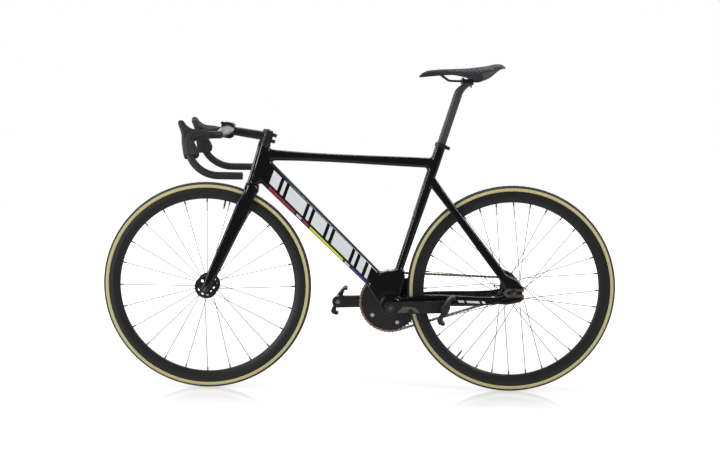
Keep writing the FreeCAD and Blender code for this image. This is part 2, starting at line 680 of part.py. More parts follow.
jaw_gap = 0.4
lower_middle = rail_middle - UP * 3.1
upper_middle = rail_middle + UP * (3.6 + jaw_gap / 2)
lower_jaw = plate(Placement(lower_middle, Rotation()), cradle_corners, 5.8, "XY_Plane")
upper_jaw = plate(Placement(upper_middle, Rotation()), cradle_corners, 6.8, "XY_Plane")
rail_bars = pair(rail_bar)
keep(group(*[cut(jaw, rail_bars, *rail_bolt_holes) for jaw in (lower_jaw, upper_jaw)]), "rail_clamp")
rail_bolts = [fuse(rod(facing(spot - UP * 20, UP), "bolt_radius", 27.5),
                   rod(facing(spot + UP * 7.2, UP), "bolt_head_radius+0.2", 4)) for spot in rail_bolt_spots]
keep(group(*rail_bolts), "rail_clamp_bolts")

# Saddle: a padded cover over a moulded base, on two rails

# Each row: share of the length from the tail, share of the width, height of the crown and of the rim above
# the rails.
SADDLE_ROWS = [
    (0.0, 0.50, 46.5, 42.0), (0.07, 0.85, 54.5, 38.0), (0.2, 1.0, 49.0, 11.0), (0.3, 0.985, 45.0, 1.0),
    (0.44, 0.82, 40.5, 11.0), (0.6, 0.5, 38.0, 18.5), (0.8, 0.33, 35.0, 15.5), (0.95, 0.24, 26.0, 11.5),
    (1.0, 0.14, 16.5, 10.0)]
saddle_tail = rail_middle - AHEAD * 0.44 * size["saddle_length"]


def saddle_curve(place, half, crown, rim, backward):
    """The top of one saddle section: a flat crown between two rounded shoulders."""
    fall = crown - rim
    shoulder = (0.62 * half, crown - 0.2 * fall)
    bulge = (0.86 * half, crown - 0.47 * fall)
    left = [(half, rim), bulge, shoulder, (0, crown)]
    stops = [Vector(0, y, z) for y, z in left] + [Vector(0, -y, z) for y, z in reversed(left[:-1])]
    stops = [place + stop for stop in stops]
    edges = [Part.Arc(*stops[start:start + 3]).toShape() for start in (0, 2, 4)]
    return edges[::-1] if backward else edges


layer_gap = 0.4
cover_inset = 3
base_outer = size["saddle_pad"] + layer_gap
base_inner = base_outer + size["saddle_base"]
base_inset = cover_inset + layer_gap


def saddle_layer(outer_drop, inner_drop, outer_inset, inner_inset):
    """A cap-shaped layer of the saddle between two depths below its surface, thinner at its ends."""
    sections = []
    for share, wide, crown, rim in SADDLE_ROWS:
        place = saddle_tail + AHEAD * share * size["saddle_length"]
        half = wide * size["saddle_width"] / 2
        thin = min(1.0, 0.5 * (crown - rim) / base_inner)
        rows = []
        for drop, inset, backward in ((outer_drop, outer_inset, False), (inner_drop, inner_inset, True)):
            rows.append(saddle_curve(place, half - thin * inset, crown - thin * drop, rim, backward))
        outer, inner = rows
        corners = [outer[0].Vertexes[0].Point, outer[-1].Vertexes[-1].Point,
                   inner[0].Vertexes[-1].Point, inner[-1].Vertexes[0].Point]
        right_side = Part.LineSegment(corners[1], corners[2]).toShape()
        left_side = Part.LineSegment(corners[3], corners[0]).toShape()
        sections.append(Part.Wire([*outer, right_side, *inner, left_side]))
    return Part.makeLoft(sections, True, False)


saddle_cover = coded("saddle_cover", saddle_layer(0, size["saddle_pad"], 0, cover_inset))
saddle_base = coded("saddle_base", saddle_layer(base_outer, base_inner, base_inset, base_inset + 2))
keep(saddle_cover, "saddle_cover")
keep(saddle_base, "saddle_base")
saddle_fill = coded("saddle_fill", saddle_layer(0, base_inner, 0, base_inset + 2))
keep(cut(rail_bars, saddle_fill, saddle_base), "saddle_rails")

# Rear axle and nuts

rear_nut_face = size["rear_hub_spacing"] / 2 + size["dropout_thickness"] + size["plate_thickness"]


def axle(middle, radius, shoulder, shoulder_face, nut_face):
    """An axle with a locknut shoulder against each inner face and a plain end past each thread."""
    thread_end = f"{nut_face}+nut_height+axle_overhang"
    tip = f"{thread_end}+axle_pilot_length"
    pilot = f"{radius}-axle_pilot_step"
    start = "hub_half_width+head_clearance"
    upper = [(radius, start), (shoulder, start), (shoulder, shoulder_face), (radius, shoulder_face),
             (radius, thread_end), (pilot, thread_end), (pilot, tip)]
    lower = [(reach, f"-({along})") for reach, along in reversed(upper)]
    return turned(across(middle), [(0, f"-({tip})"), *lower, *upper, (0, tip)])


def axle_nut(middle, radius, face):
    """A hexagon nut with a washer flange against an end's outer face."""
    place = across(middle + LEFT * face)
    washer_height = 2
    overlap = 0.1
    flange = rod(place, "nut_radius+2.5", washer_height)
    hexagon_foot = washer_height - overlap
    hexagon = primitive("Prism", across(middle + LEFT * (face + hexagon_foot)), Circumradius="nut_radius",
                        Height=f"nut_height-{hexagon_foot}")
    return cut(fuse(flange, hexagon), rod(across(middle + LEFT * (face - 1)), radius, 30))


keep(axle(rear_axle, "rear_axle_radius", "rear_axle_radius+3", "rear_hub_spacing/2",
          "rear_hub_spacing/2+dropout_thickness+plate_thickness"), "rear_axle")
keep(pair(axle_nut(rear_axle, "rear_axle_radius", rear_nut_face)), "rear_axle_nuts")

# Chain: pins on the pitch circles and along the two straight runs

lean, run, ring_wrap, sprocket_wrap = chain_parts(chain_distance)
centre_angle = math.atan2(bracket.z - rear_axle.z, bracket.x - rear_axle.x)
ring_start = centre_angle + math.pi / 2 + lean
ring_step = 2 * math.pi / size["ring_teeth"]
sprocket_step = 2 * math.pi / size["sprocket_teeth"]
sprocket_start = ring_start - ring_wrap * ring_step


def round_point(middle, radius, angle):
    return middle + AHEAD * radius * math.cos(angle) + UP * radius * math.sin(angle)


def chain_point(count):
    """The place of a pin, counted in pitches from where the upper run meets the ring."""
    if count <= ring_wrap:
        return round_point(bracket, ring_radius, ring_start - count * ring_step)
    count -= ring_wrap
    lower_ring = round_point(bracket, ring_radius, sprocket_start)
    lower_sprocket = round_point(rear_axle, sprocket_radius, sprocket_start)
    if count <= run:
        return lower_ring + (lower_sprocket - lower_ring) * (count / run)
    count -= run
    if count <= sprocket_wrap:
        return round_point(rear_axle, sprocket_radius, sprocket_start - count * sprocket_step)
    count -= sprocket_wrap
    upper_sprocket = round_point(rear_axle, sprocket_radius, ring_start)
    return upper_sprocket + (round_point(bracket, ring_radius, ring_start) - upper_sprocket) * (count / run)


def link_plate(end_radius, waist, low, high):
    """A waisted chain plate between two pins, flat in X and Z, from one Y to another."""
    half = size["chain_pitch"] / 2
    bite = math.radians(55)
    lift = end_radius * math.sin(bite)
    inset = half - end_radius * math.cos(bite)
    corner = [Vector(x, low, z) for x, z in ((-inset, lift), (inset, lift), (inset, -lift), (-inset, -lift))]
    edges = [Part.Arc(corner[0], Vector(0, low, waist), corner[1]),
             Part.Arc(corner[1], Vector(half + end_radius, low, 0), corner[2]),
             Part.Arc(corner[2], Vector(0, low, -waist), corner[3]),
             Part.Arc(corner[3], Vector(-half - end_radius, low, 0), corner[0])]
    return Part.Face(Part.Wire([edge.toShape() for edge in edges])).extrude(LEFT * (high - low))


def crossways(reach, radius, half_length):
    """A cylinder across a link at one of its pins."""
    return Part.makeCylinder(radius, 2 * half_length, Vector(reach, -half_length, 0), LEFT)


plate_gap = 0.15
inner_face = size["chain_inner_width"] / 2
inner_back = inner_face + size["chain_plate"]
outer_face = inner_back + plate_gap
outer_back = outer_face + size["chain_plate"]
half_pitch = size["chain_pitch"] / 2
outer_end, outer_waist = 4.1, 2.9
inner_end, inner_waist = 4.0, 2.8
pin_overhang = 0.6
pin_gap = 0.2
pin_reaches = (-half_pitch, half_pitch)
outer_link = link_plate(outer_end, outer_waist, outer_face, outer_back).fuse([
    link_plate(outer_end, outer_waist, -outer_back, -outer_face),
    *[crossways(reach, size["pin_radius"], outer_back + pin_overhang) for reach in pin_reaches]])
inner_link = link_plate(inner_end, inner_waist, inner_face, inner_back).fuse([
    link_plate(inner_end, inner_waist, -inner_back, -inner_face),
    *[crossways(reach, size["roller_radius"], inner_face) for reach in pin_reaches]])
inner_link = inner_link.cut([crossways(reach, size["pin_radius"] + pin_gap, outer_back)
                             for reach in pin_reaches])


def chain_run(link, first):
    """Every second link of the chain, from the first."""
    links = []
    for count in range(first, round(size["chain_links"]), 2):
        start = chain_point(count)
        end = chain_point((count + 1) % size["chain_links"])
        way = end - start
        piece = link.copy()
        middle = (start + end) * 0.5 - LEFT * size["chain_line"]
        piece.Placement = Placement(middle, Rotation(LEFT, -math.degrees(math.atan2(way.z, way.x))))
        links.append(piece)
    return Part.makeCompound(links)


keep(coded("chain_outer_links", chain_run(outer_link, 0)), "chain_outer_links")
keep(coded("chain_inner_links", chain_run(inner_link, 1)), "chain_inner_links")


# Toothed wheels

# The angle round a roller, from straight outwards, at which its round seat ends and the tooth's flank starts.
flank_start = math.radians(83.5)


def toothed(middle, teeth, pitch_circle, first_gap, bore):
    """A toothed disc whose first tooth gap lies at an angle above the forward direction."""
    place = across(middle)
    place.Rotation = Rotation(LEFT, -math.degrees(first_gap)).multiply(place.Rotation)
    body = new_body(place)
    blank = outline(body, "XY_Plane", circle_corners(f"{pitch_circle:.9g}+tooth_height"))
    disc = body.newObject("PartDesign::Pad", "disc")
    disc.Profile = blank
    disc.Midplane = True
    bind(disc, "Length", "tooth_thickness")
    gap = "roller_radius+mesh_clearance"
    mouth = f"{pitch_circle:.9g}+tooth_height+1"
    side = f"({gap})*{math.sin(flank_start):.9g}"
    shoulder = f"{pitch_circle:.9g}+({gap})*{math.cos(flank_start):.9g}"
    gap_sketch = outline(body, "XY_Plane", [
        (mouth, "-tooth_mouth/2"), (mouth, "tooth_mouth/2"), (shoulder, side, gap),
        (f"{pitch_circle:.9g}-({gap})", 0, gap), (shoulder, f"-({side})")])
    pocket = body.newObject("PartDesign::Pocket", "tooth_gap")
    pocket.Profile = gap_sketch
    pocket.Midplane = True
    bind(pocket, "Length", "tooth_thickness+2")
    body.Tip = pocket
    doc.recompute()
    pattern = body.newObject("PartDesign::PolarPattern", "tooth_gaps")
    pattern.Originals = [pocket]
    pattern.Axis = (origin_part(body, "Z_Axis"), [""])
    pattern.Angle = 360
    bind(pattern, "Occurrences", teeth)
    body.Tip = pattern
    return cut(body, cross_rod(middle, bore, 20))


def circle_corners(radius):
    """A full circle as four quarter arcs."""
    far = f"-({radius})"
    return [(radius, 0, radius), (0, radius, radius), (far, 0, radius), (0, far, radius)]


chain_plane = -LEFT * size["chain_line"]
sprocket_first = math.ceil(ring_wrap + run) - (ring_wrap + run)
sprocket_bore = "hub_boss_radius+1"
keep(toothed(rear_axle + chain_plane, "sprocket_teeth", sprocket_radius,
             sprocket_start - sprocket_first * sprocket_step, sprocket_bore), "sprocket")

ring_blank = toothed(bracket + chain_plane, "ring_teeth", ring_radius, ring_start, "crank_boss_radius")
crank_turn = math.radians(size["crank_angle"])
bolt_count = int(size["ring_bolts"])
bolt_angles = [crank_turn + 2 * math.pi * (step + 0.5) / bolt_count for step in range(bolt_count)]
bolt_spots = [round_point(bracket, size["ring_bolt_circle"] / 2, angle) for angle in bolt_angles]
ring_holes = [cross_rod(spot + chain_plane, "ring_bolt_radius", 40) for spot in bolt_spots]
keep(cut(ring_blank, *ring_holes), "chainring")

lockring_height = 4.5
lockring_foot = "-chain_line-tooth_thickness/2"
lockring_face = f"{lockring_foot}-{lockring_height}"
lockring = turned(across(rear_axle), [
    (sprocket_bore, lockring_face), ("hub_boss_radius+6", lockring_face),
    ("hub_boss_radius+7", lockring_foot), (sprocket_bore, lockring_foot)])
notch_count = 6
notch_radius = 2.6
notch_start = LEFT * (worth(lockring_face) - 1)
notch_spots = [round_point(rear_axle, size["hub_boss_radius"] + 8, 2 * math.pi * step / notch_count)
               for step in range(notch_count)]
lockring_notches = [rod(across(spot + notch_start), notch_radius, lockring_height + 0.5)
                    for spot in notch_spots]
keep(cut(lockring, *lockring_notches), "sprocket_lockring")

# Cranks

spindle_end = "crank_inner_face+crank_thickness"
keep(cross_rod(bracket, "spindle_radius", f"2*({spindle_end})"), "crank_spindle")


def crank_end(direction):
    """The pedal axis, in the bicycle's middle plane."""
    return round_point(bracket, size["crank_length"], crank_turn if direction > 0 else crank_turn + math.pi)


arm_middle = size["crank_inner_face"] + size["crank_thickness"] / 2


def crank_arm(direction):
    """A flat arm with round ends and a boss: -1 is the left one, which points back, +1 the right one."""
    side = -direction
    lie = size["crank_angle"] + (0 if direction > 0 else 180)
    place = Placement(bracket + LEFT * side * arm_middle, Rotation(LEFT, -lie))
    half = "crank_depth/2"
    arm = plate(place, [
        (0, f"-{half}"), ("crank_length", f"-{half}", half), (f"crank_length+{half}", 0, half),
        ("crank_length", half), (0, half, half), (f"-{half}", 0, half)], "crank_thickness")
    boss_length = size["crank_inner_face"] - size["bracket_shell_width"] / 2 - 1
    boss_middle = bracket + LEFT * side * (size["crank_inner_face"] - boss_length / 2)
    boss = cross_rod(boss_middle, "crank_boss_radius", "crank_inner_face-bracket_shell_width/2-1")
    pieces = [arm, boss]
    if direction > 0:
        pieces += [spider()]
    pedal_hole = cross_rod(crank_end(direction) + LEFT * side * arm_middle, "pedal_spindle_radius+2", 40)
    spindle_hole = cross_rod(bracket + LEFT * side * arm_middle, "spindle_radius", 100)
    return cut(fuse(*pieces), spindle_hole, pedal_hole)


spider_depth = 7


def spider():
    """The five-armed star that the chainring is bolted to."""
    middle = bracket - LEFT * (size["chain_line"] + size["tooth_thickness"] / 2 + spider_depth / 2)
    tip = "ring_bolt_circle/2+10"
    arms = []
    for angle in bolt_angles:
        place = Placement(middle, Rotation(LEFT, -math.degrees(angle)))
        arms.append(plate(place, [(0, -13), (tip, -9), (tip, 9), (0, 13)], spider_depth))
    hub_disc = cross_rod(middle, "crank_boss_radius+14", spider_depth)
    bridge_length = size["crank_inner_face"] - abs(middle.y)
    bridge = cross_rod(bracket - LEFT * (size["crank_inner_face"] - bridge_length / 2), "crank_depth/2",
                       bridge_length)
    return cut(fuse(hub_disc, *arms, bridge), *[cross_rod(spot + chain_plane, "ring_bolt_radius", 60)
                                                for spot in bolt_spots])


keep(crank_arm(-1), "left_crank")
keep(crank_arm(1), "right_crank")

bolt_half = size["tooth_thickness"] / 2
ring_bolts = []
for spot in bolt_spots:
    inner_end = spot - LEFT * (size["chain_line"] - bolt_half)
    outer_end = spot - LEFT * (size["chain_line"] + bolt_half + spider_depth)
    shank = rod(across(outer_end), "ring_bolt_radius", f"tooth_thickness+{spider_depth}")
    inner_head = rod(across(inner_end), "ring_bolt_radius+2", 1.4)
    outer_head = rod(across(outer_end - LEFT * 1.4), "ring_bolt_radius+2", 1.4)
    socket = primitive("Prism", across(inner_end), Circumradius=2.9, Height=3)
    ring_bolts.append(cut(fuse(shank, inner_head, outer_head), socket))

cap_height = 3
crank_cap = rod(across(bracket + LEFT * (size["crank_inner_face"] + size["crank_thickness"])),
                "crank_cap_radius", cap_height)
cap_socket = primitive("Prism", across(bracket + LEFT * (size["crank_inner_face"] + size["crank_thickness"])),
                       Circumradius=5.8, Height=cap_height)
keep(group(*ring_bolts, pair(cut(crank_cap, cap_socket))), "crank_fasteners")

# Pedals: spindle, body and sprung latch

pedal_face = size["crank_inner_face"] + size["crank_thickness"] + size["pedal_gap"]
LATCH_PIVOT = (-27.0, -2.0)


def pedal_place(direction):
    """The pedal's frame: X to its nose, Z out of its tread, Y along the spindle."""
    side = -direction
    origin = crank_end(direction) + LEFT * side * (pedal_face + size["pedal_width"] / 2)
    return Placement(origin, Rotation(LEFT, -size["pedal_tilt"]))


def pedal_spindle(direction):
    side = -direction
    end = crank_end(direction)
    start = end + LEFT * side * size["crank_inner_face"]
    inner = turned(facing(start, LEFT * side, AHEAD), [
        (0, 0), ("pedal_spindle_radius+2", 0), ("pedal_spindle_radius+2", "crank_thickness"),
        ("pedal_spindle_radius+4", "crank_thickness"),
        ("pedal_spindle_radius+4", "crank_thickness+pedal_gap-0.4"),
        ("pedal_spindle_radius", "crank_thickness+pedal_gap-0.4"),
        ("pedal_spindle_radius", "crank_thickness+pedal_gap+pedal_width-4"),
        (0, "crank_thickness+pedal_gap+pedal_width-4")])
    return inner


def pedal_body(direction):
    place = pedal_place(direction)
    end = crank_end(direction)
    side = -direction
    barrel_middle = end + LEFT * side * (pedal_face + size["pedal_width"] / 2)
    barrel = cross_rod(barrel_middle, 11, "pedal_width")
    tread = plate(place, [
        (-22, -5), (-6, -9.5), (10, -9), (34, -2), (46, 3, 16), (50, 15), (41, 17), (42, 11, -6), (36, 8),
        (-14, 9.5), (-22, 5)], "pedal_width-6")
    pivot_ears = plate(place, [(-20, -7), (-31, -6, 6), (-31, 3), (-20, 5)], "pedal_width*0.32")
    hole = cross_rod(barrel_middle - LEFT * side * 2, "pedal_spindle_radius+running_clearance", "pedal_width")
    pin_hole = rod(Placement(place.multVec(Vector(LATCH_PIVOT[0], 40, LATCH_PIVOT[1])),
                             place.Rotation.multiply(Rotation(AHEAD, 90))), 1.55, 80)
    return cut(fuse(barrel, tread, pivot_ears), hole, pin_hole)


def pedal_latch(direction):
    """The rear claw: two cheeks either side of the body's ears on a pin, and a cross bar with a hook."""
    place = pedal_place(direction)
    pivot_x, pivot_z = LATCH_PIVOT
    cheek_corners = [(pivot_x + 3.5, pivot_z - 4), (pivot_x + 3.5, pivot_z + 4), (-33, 5), (-40, 6), (-46, 8),
                     (-47, -4), (-36, -9)]
    hook_corners = [(-36, -9), (-36, 3), (-40, 6), (-39, 14), (-43, 17), (-49, 12), (-49, -3), (-43, -9)]
    full = plate(place, cheek_corners, "pedal_width*0.64")
    room = plate(place, [(-20, -20), (-20, 20), (-36 + 2.5, 20), (-36 + 2.5, -20)],
                 "pedal_width*0.32+2*latch_gap")
    hook = plate(place, hook_corners, "pedal_width*0.64")
    pin = rod(Placement(place.multVec(Vector(pivot_x, size["pedal_width"] * 0.32, pivot_z)),
                        place.Rotation.multiply(Rotation(AHEAD, 90))), 1.5, "pedal_width*0.64")
    body_room = plate(place, [(-22 - 0.5, -25), (-22 - 0.5, 25), (20, 25), (20, -25)], "pedal_width")
    return fuse(cut(full, room, body_room), hook, pin)


keep(group(pedal_spindle(-1), pedal_spindle(1)), "pedal_spindles")
for name, direction in (("left", -1), ("right", 1)):
    keep(pedal_body(direction), f"{name}_pedal_body")
    keep(pedal_latch(direction), f"{name}_pedal_latch")

# Fork: steerer, crown and two blades with slotted tips

stem_foot = size["head_clearance"] * 2 + size["head_tube_length"] + size["spacer_height"]
steerer_top = stem_foot + size["stem_height"] - 3
steerer = rod(facing(crown_seat, steer_up), "steerer_radius", steerer_top)

crown_height = 26
blade_middle = "fork_inside_width/2+fork_blade_width/2"
crown_span = "fork_inside_width+2*fork_blade_width-1"
crown_place = facing(on_steerer(-crown_height), steer_up)
crown = lofted(crown_place, [
    ((0, 0, 0), 0, rounded("fork_blade_depth", crown_span, 0.4)),
    ((0, 0, crown_height * 0.5), 0, rounded("fork_blade_depth-2", f"{crown_span}-10", 0.44)),
    ((0, 0, crown_height), 0, rounded("2*head_tube_end_radius", "2*head_tube_end_radius", 0.495))])
tyre_channel = cross_rod(front_axle, "wheel_radius+tyre_gap", "fork_inside_width")
keep(fuse(cut(crown, tyre_channel), steerer), "fork_crown")

blade_top = on_steerer(-crown_height)
tip_middle = size["front_hub_spacing"] / 2 + size["fork_tip_thickness"] / 2
blade = tube(blade_top, front_axle + (blade_top - front_axle).normalize() * 4, [
    (0, blade_middle, "fork_blade_depth", "fork_blade_width"),
    (0.3, f"{blade_middle}+4", "fork_blade_depth*0.9", "fork_blade_width-1"),
    (0.75, tip_middle - 3, "fork_blade_depth_low+2", "fork_blade_width-4"),
    (0.92, tip_middle, "fork_blade_depth_low-3", "fork_tip_thickness+1"),
    (1, tip_middle, "2*fork_tip_radius-5", "fork_tip_thickness")])
tip_disc = cross_rod(front_axle + LEFT * tip_middle, "fork_tip_radius", "fork_tip_thickness")
tip_slot_half = "front_axle_radius+0.2"
tip_slot = plate(Placement(front_axle + LEFT * tip_middle, Rotation(LEFT, 24)), [
    (f"-({tip_slot_half})", 1.2), (f"-({tip_slot_half})", -30), (tip_slot_half, -30),
    (tip_slot_half, 1.2, "front_axle_radius+0.3")], 30)
hub_room = cross_rod(front_axle, "front_flange_radius+8", "front_hub_spacing")
front_nut_face = size["front_hub_spacing"] / 2 + size["fork_tip_thickness"]
nut_room = rod(across(front_axle + LEFT * front_nut_face), "nut_radius+4", 20)
keep(pair(cut(fuse(blade, tip_disc), crown, tip_slot, hub_room, nut_room)), "fork_blades")

keep(axle(front_axle, "front_axle_radius", "front_axle_radius+2.5", "front_hub_spacing/2",
          "front_hub_spacing/2+fork_tip_thickness"), "front_axle")
keep(pair(axle_nut(front_axle, "front_axle_radius", front_nut_face)), "front_axle_nuts")

# Stem, spacer and top cap on the steerer

spacer_foot = 2 * size["head_clearance"] + size["head_tube_length"]
keep(turned(facing(on_steerer(spacer_foot), steer_up), [
    ("steerer_radius", 0), ("head_tube_end_radius-0.5", 0), ("steerer_radius+stem_wall+1", "spacer_height"),
    ("steerer_radius", "spacer_height")]), "headset_spacer")

stem_middle = stem_foot + size["stem_height"] / 2
bar_middle = on_steerer(stem_middle - size["stem_drop"], size["stem_length"])
stem_collar = rod(facing(on_steerer(stem_foot), steer_up), "steerer_radius+stem_wall", "stem_height")
arm_start = on_steerer(stem_middle)
arm_length = (bar_middle - arm_start).Length
stem_arm = tube(arm_start, bar_middle, [
    (0, 0, "stem_height-6", "stem_width"), (0.5, 0, "stem_height-6", "stem_width"),
    (1 - 6 / arm_length, 0, "stem_height-8", "stem_width")])
ear_box = plate(facing(on_steerer(stem_middle), steer_up), [
    (-30, -10), (0, -10), (0, 10), (-30, 10)], "stem_height-4", "XY_Plane")
clamp_place = Placement(bar_middle, Rotation(LEFT, -8))
clamp_block = plate(clamp_place, rounded("clamp_depth", "clamp_height", 0.3), "clamp_width")
bar_hole = cross_rod(bar_middle, "bar_clamp_radius", "clamp_width+20")
steerer_hole = rod(facing(on_steerer(stem_foot - 5), steer_up), "steerer_radius", "stem_height+40")
face_line = 3
room_length, room_width, room_height = 60, 80, 100


def clamp_room(start):
    """A box, ahead of a line in the clamp's frame, that is larger than the clamp."""
    corner = clamp_place.multVec(Vector(start, -room_width / 2, -room_height / 2))
    return primitive("Box", Placement(corner, clamp_place.Rotation), Length=room_length, Width=room_width,
                     Height=room_height)


face_gap = 1
front_room = clamp_room(face_line)
rear_room = clamp_room(face_line + face_gap - room_length)
steerer_frame = facing(on_steerer(stem_foot), steer_up)
ear_split = primitive("Box", Placement(steerer_frame.multVec(Vector(-45, -1, -5)), steerer_frame.Rotation),
                      Length=45, Width=2, Height=60)
notch_height = 9
notch_foot = size["stem_height"] / 2 - notch_height / 2
notch_corner = steerer_frame.multVec(Vector(-45, -20, notch_foot))
ear_notch = primitive("Box", Placement(notch_corner, steerer_frame.Rotation), Length=26, Width=40,
                      Height=notch_height)

clamp_bolt_half = size["clamp_height"] / 2 - 5
clamp_bolt_spots = [clamp_place.multVec(Vector(0, side * 14, up * clamp_bolt_half))
                    for side in (-1, 1) for up in (-1, 1)]
clamp_ahead = clamp_place.Rotation.multVec(AHEAD)
clamp_bolt_holes = [rod(facing(spot - clamp_ahead * 40, clamp_ahead), "bolt_radius+bolt_gap", 80)
                    for spot in clamp_bolt_spots]
ear_bolt_spots = [on_steerer(stem_middle + up, -24.5) for up in (-10, 10)]
ear_bolt_holes = [cross_rod(spot, "bolt_radius+bolt_gap", 60) for spot in ear_bolt_spots]
stem_blank = fuse(stem_collar, stem_arm, ear_box, clamp_block)
keep(cut(stem_blank, steerer_hole, bar_hole, front_room, ear_split, ear_notch, *clamp_bolt_holes,
         *ear_bolt_holes), "stem")
keep(cut(clamp_block, bar_hole, rear_room, *clamp_bolt_holes), "stem_faceplate")

clamp_front = size["clamp_depth"] / 2
bolt_bite = 14
stem_bolts = []
for spot in clamp_bolt_spots:
    shank = rod(facing(spot - clamp_ahead * bolt_bite, clamp_ahead), "bolt_radius", clamp_front + bolt_bite)
    head = rod(facing(spot + clamp_ahead * clamp_front, clamp_ahead), "bolt_head_radius", 3)
    stem_bolts.append(fuse(shank, head))
for spot in ear_bolt_spots:
    stem_bolts.append(fuse(cross_rod(spot, "bolt_radius", 20),
                           rod(across(spot + LEFT * 10), "bolt_head_radius", 3.5)))
keep(turned(facing(on_steerer(stem_foot + size["stem_height"]), steer_up), [
    (3, 0), ("steerer_radius+stem_wall-1", 0), ("steerer_radius+stem_wall-1.5", 3), ("steerer_radius", 4.5),
    (3, 4.5)]), "headset_top_cap")
cap_bolt = turned(facing(on_steerer(stem_foot + size["stem_height"]), steer_up), [
    (0, -2.9), (2.9, -2.9), (2.9, 4.6), (4.5, 4.6), (4.5, 6.5), (0, 6.5)])
keep(group(*stem_bolts, cap_bolt), "stem_bolts")

# Handlebar: flat top, two drops with tape, two hoods, two plugs

wing_ends = (bar_middle + AHEAD * size["wing_sweep"] - UP * size["wing_droop"])
wing_frame = Placement(bar_middle, Rotation(AHEAD, UP, LEFT * -1, "ZXY"))
round_bar = rounded("2*bar_clamp_radius", "2*bar_clamp_radius", 0.497)
wing_stations = []
for side in (-1, 1):
    half = [((0, 0, "clamp_width/2+2"), round_bar),
            ((2, 0, "clamp_width/2+24"), rounded("wing_chord", "wing_thickness+3")),
            (("wing_sweep", "-wing_droop", "wing_half_width"), rounded("wing_chord-6", "wing_thickness"))]
    for (x, y, z), corners in half:
        wing_stations.append(((x, y, f"{-side}*({z})"), 0, corners))
wing_left = lofted(wing_frame, wing_stations[:3])
wing_right = lofted(wing_frame, wing_stations[3:])
wing_core = cross_rod(bar_middle, "bar_clamp_radius", "clamp_width+4")
keep(fuse(wing_core, wing_left, wing_right), "handlebar_top")

hood_height = wing_ends.z
drop_front = bar_middle.x + size["bar_reach"]
drop_points = [
    Vector(wing_ends.x, size["wing_half_width"], hood_height),
    Vector(wing_ends.x, size["hood_half_width"], hood_height),
    Vector(drop_front, size["hood_half_width"], hood_height),
    Vector(drop_front, size["drop_half_width"], hood_height - size["bar_drop"]),
    Vector(drop_front - size["drop_length"], size["drop_half_width"], hood_height - size["bar_drop"])]
drop_bends = [size["hood_half_width"] - size["wing_half_width"] - 2, 20, size["drop_bend_radius"]]
left_drop = coded("left_drop", bent_rod(drop_points, drop_bends, size["grip_radius"]))
keep(pair(left_drop), "handlebar_drops")

drop_lean = math.degrees(math.atan2(size["drop_half_width"] - size["hood_half_width"], size["bar_drop"]))
hood_place = Placement(Vector(drop_front, size["hood_half_width"], hood_height), Rotation(AHEAD, drop_lean))
hood_blank = plate(hood_place, [
    (-68, -13), (-34, -13), (-22, -14, -10), (-18, -27), (-28, -46), (-34, -61), (-27, -72), (11, -75),
    (15, -58), (19, -27), (20, 0), (26, 20), (32, 36, 8), (22, 42, 8), (14, 38), (7, 27), (-6, 17), (-19, 13),
    (-68, 12)], "hood_width")
keep(pair(cut(hood_blank, left_drop)), "hoods")

plug = turned(facing(drop_points[-1], -AHEAD), [
    (0, 0), ("grip_radius", 0), ("grip_radius-0.5", 2.5), (0, 3.5)])
keep(pair(plug), "bar_end_plugs")

# Wheels

tyre_middle = "wheel_radius-tyre_section/2"
bed_corner_rise = "sqrt((tyre_section/2+0.05)^2-(rim_bed_width/2)^2)"
rim_top = f"{tyre_middle}-{bed_corner_rise}"
rim_foot = f"{rim_top}-rim_depth"


def rim(middle):
    """A deep rim with a round bed for the tyre."""
    lip = f"{rim_top}+0.5"
    widest = f"{rim_top}-rim_depth*0.35"
    return turned(across(middle), [
        (rim_top, "rim_bed_width/2"), (lip, "rim_bed_width/2+0.8"), (widest, "rim_width/2", 60),
        (f"{rim_foot}+4", "rim_nose_width/2+1", 6), (rim_foot, "rim_nose_width/4"),
        (rim_foot, "-rim_nose_width/4", 6), (f"{rim_foot}+4", "-rim_nose_width/2-1", 60),
        (widest, "-rim_width/2"), (lip, "-rim_bed_width/2-0.8"),
        (rim_top, "-rim_bed_width/2", "-(tyre_section/2+0.05)")])


def tyre(middle):
    """A round-section tyre."""
    return primitive("Torus", across(middle), Radius1=tyre_middle, Radius2="tyre_section/2")


def hub(middle, axle_bore, flange_radius, spread, right_end):
    """A hub body with two flanges and a bearing seat at each end."""
    inner = f"{spread}/2-flange_thickness/2"
    outer = f"{spread}/2+flange_thickness/2"
    seat = "hub_half_width-hub_bearing_width"
    left = [(axle_bore, seat), ("hub_bearing_radius", seat), ("hub_bearing_radius", "hub_half_width"),
            ("hub_boss_radius", "hub_half_width"), ("hub_boss_radius", outer), (flange_radius, outer),
            (flange_radius, inner), ("hub_boss_radius", inner), ("hub_barrel_radius", f"{inner}-9")]
    right = [(reach, f"-({along})") for reach, along in reversed(left)]
    if right_end:
        right[4:7] = [(right_end, f"-({outer})"), (right_end, "-hub_half_width-3"),
                      ("hub_bearing_radius", "-hub_half_width-3")]
    return turned(across(middle), [*left, *right])


def flange_run(hub_circle, flange_radius, hub_angle, way):
    """How far a spoke lies over its flange, from its hole to the flange's edge."""
    outward = hub_circle * (math.cos(hub_angle) * way.x + math.sin(hub_angle) * way.z)
    return math.sqrt(outward ** 2 + flange_radius ** 2 - hub_circle ** 2) - outward


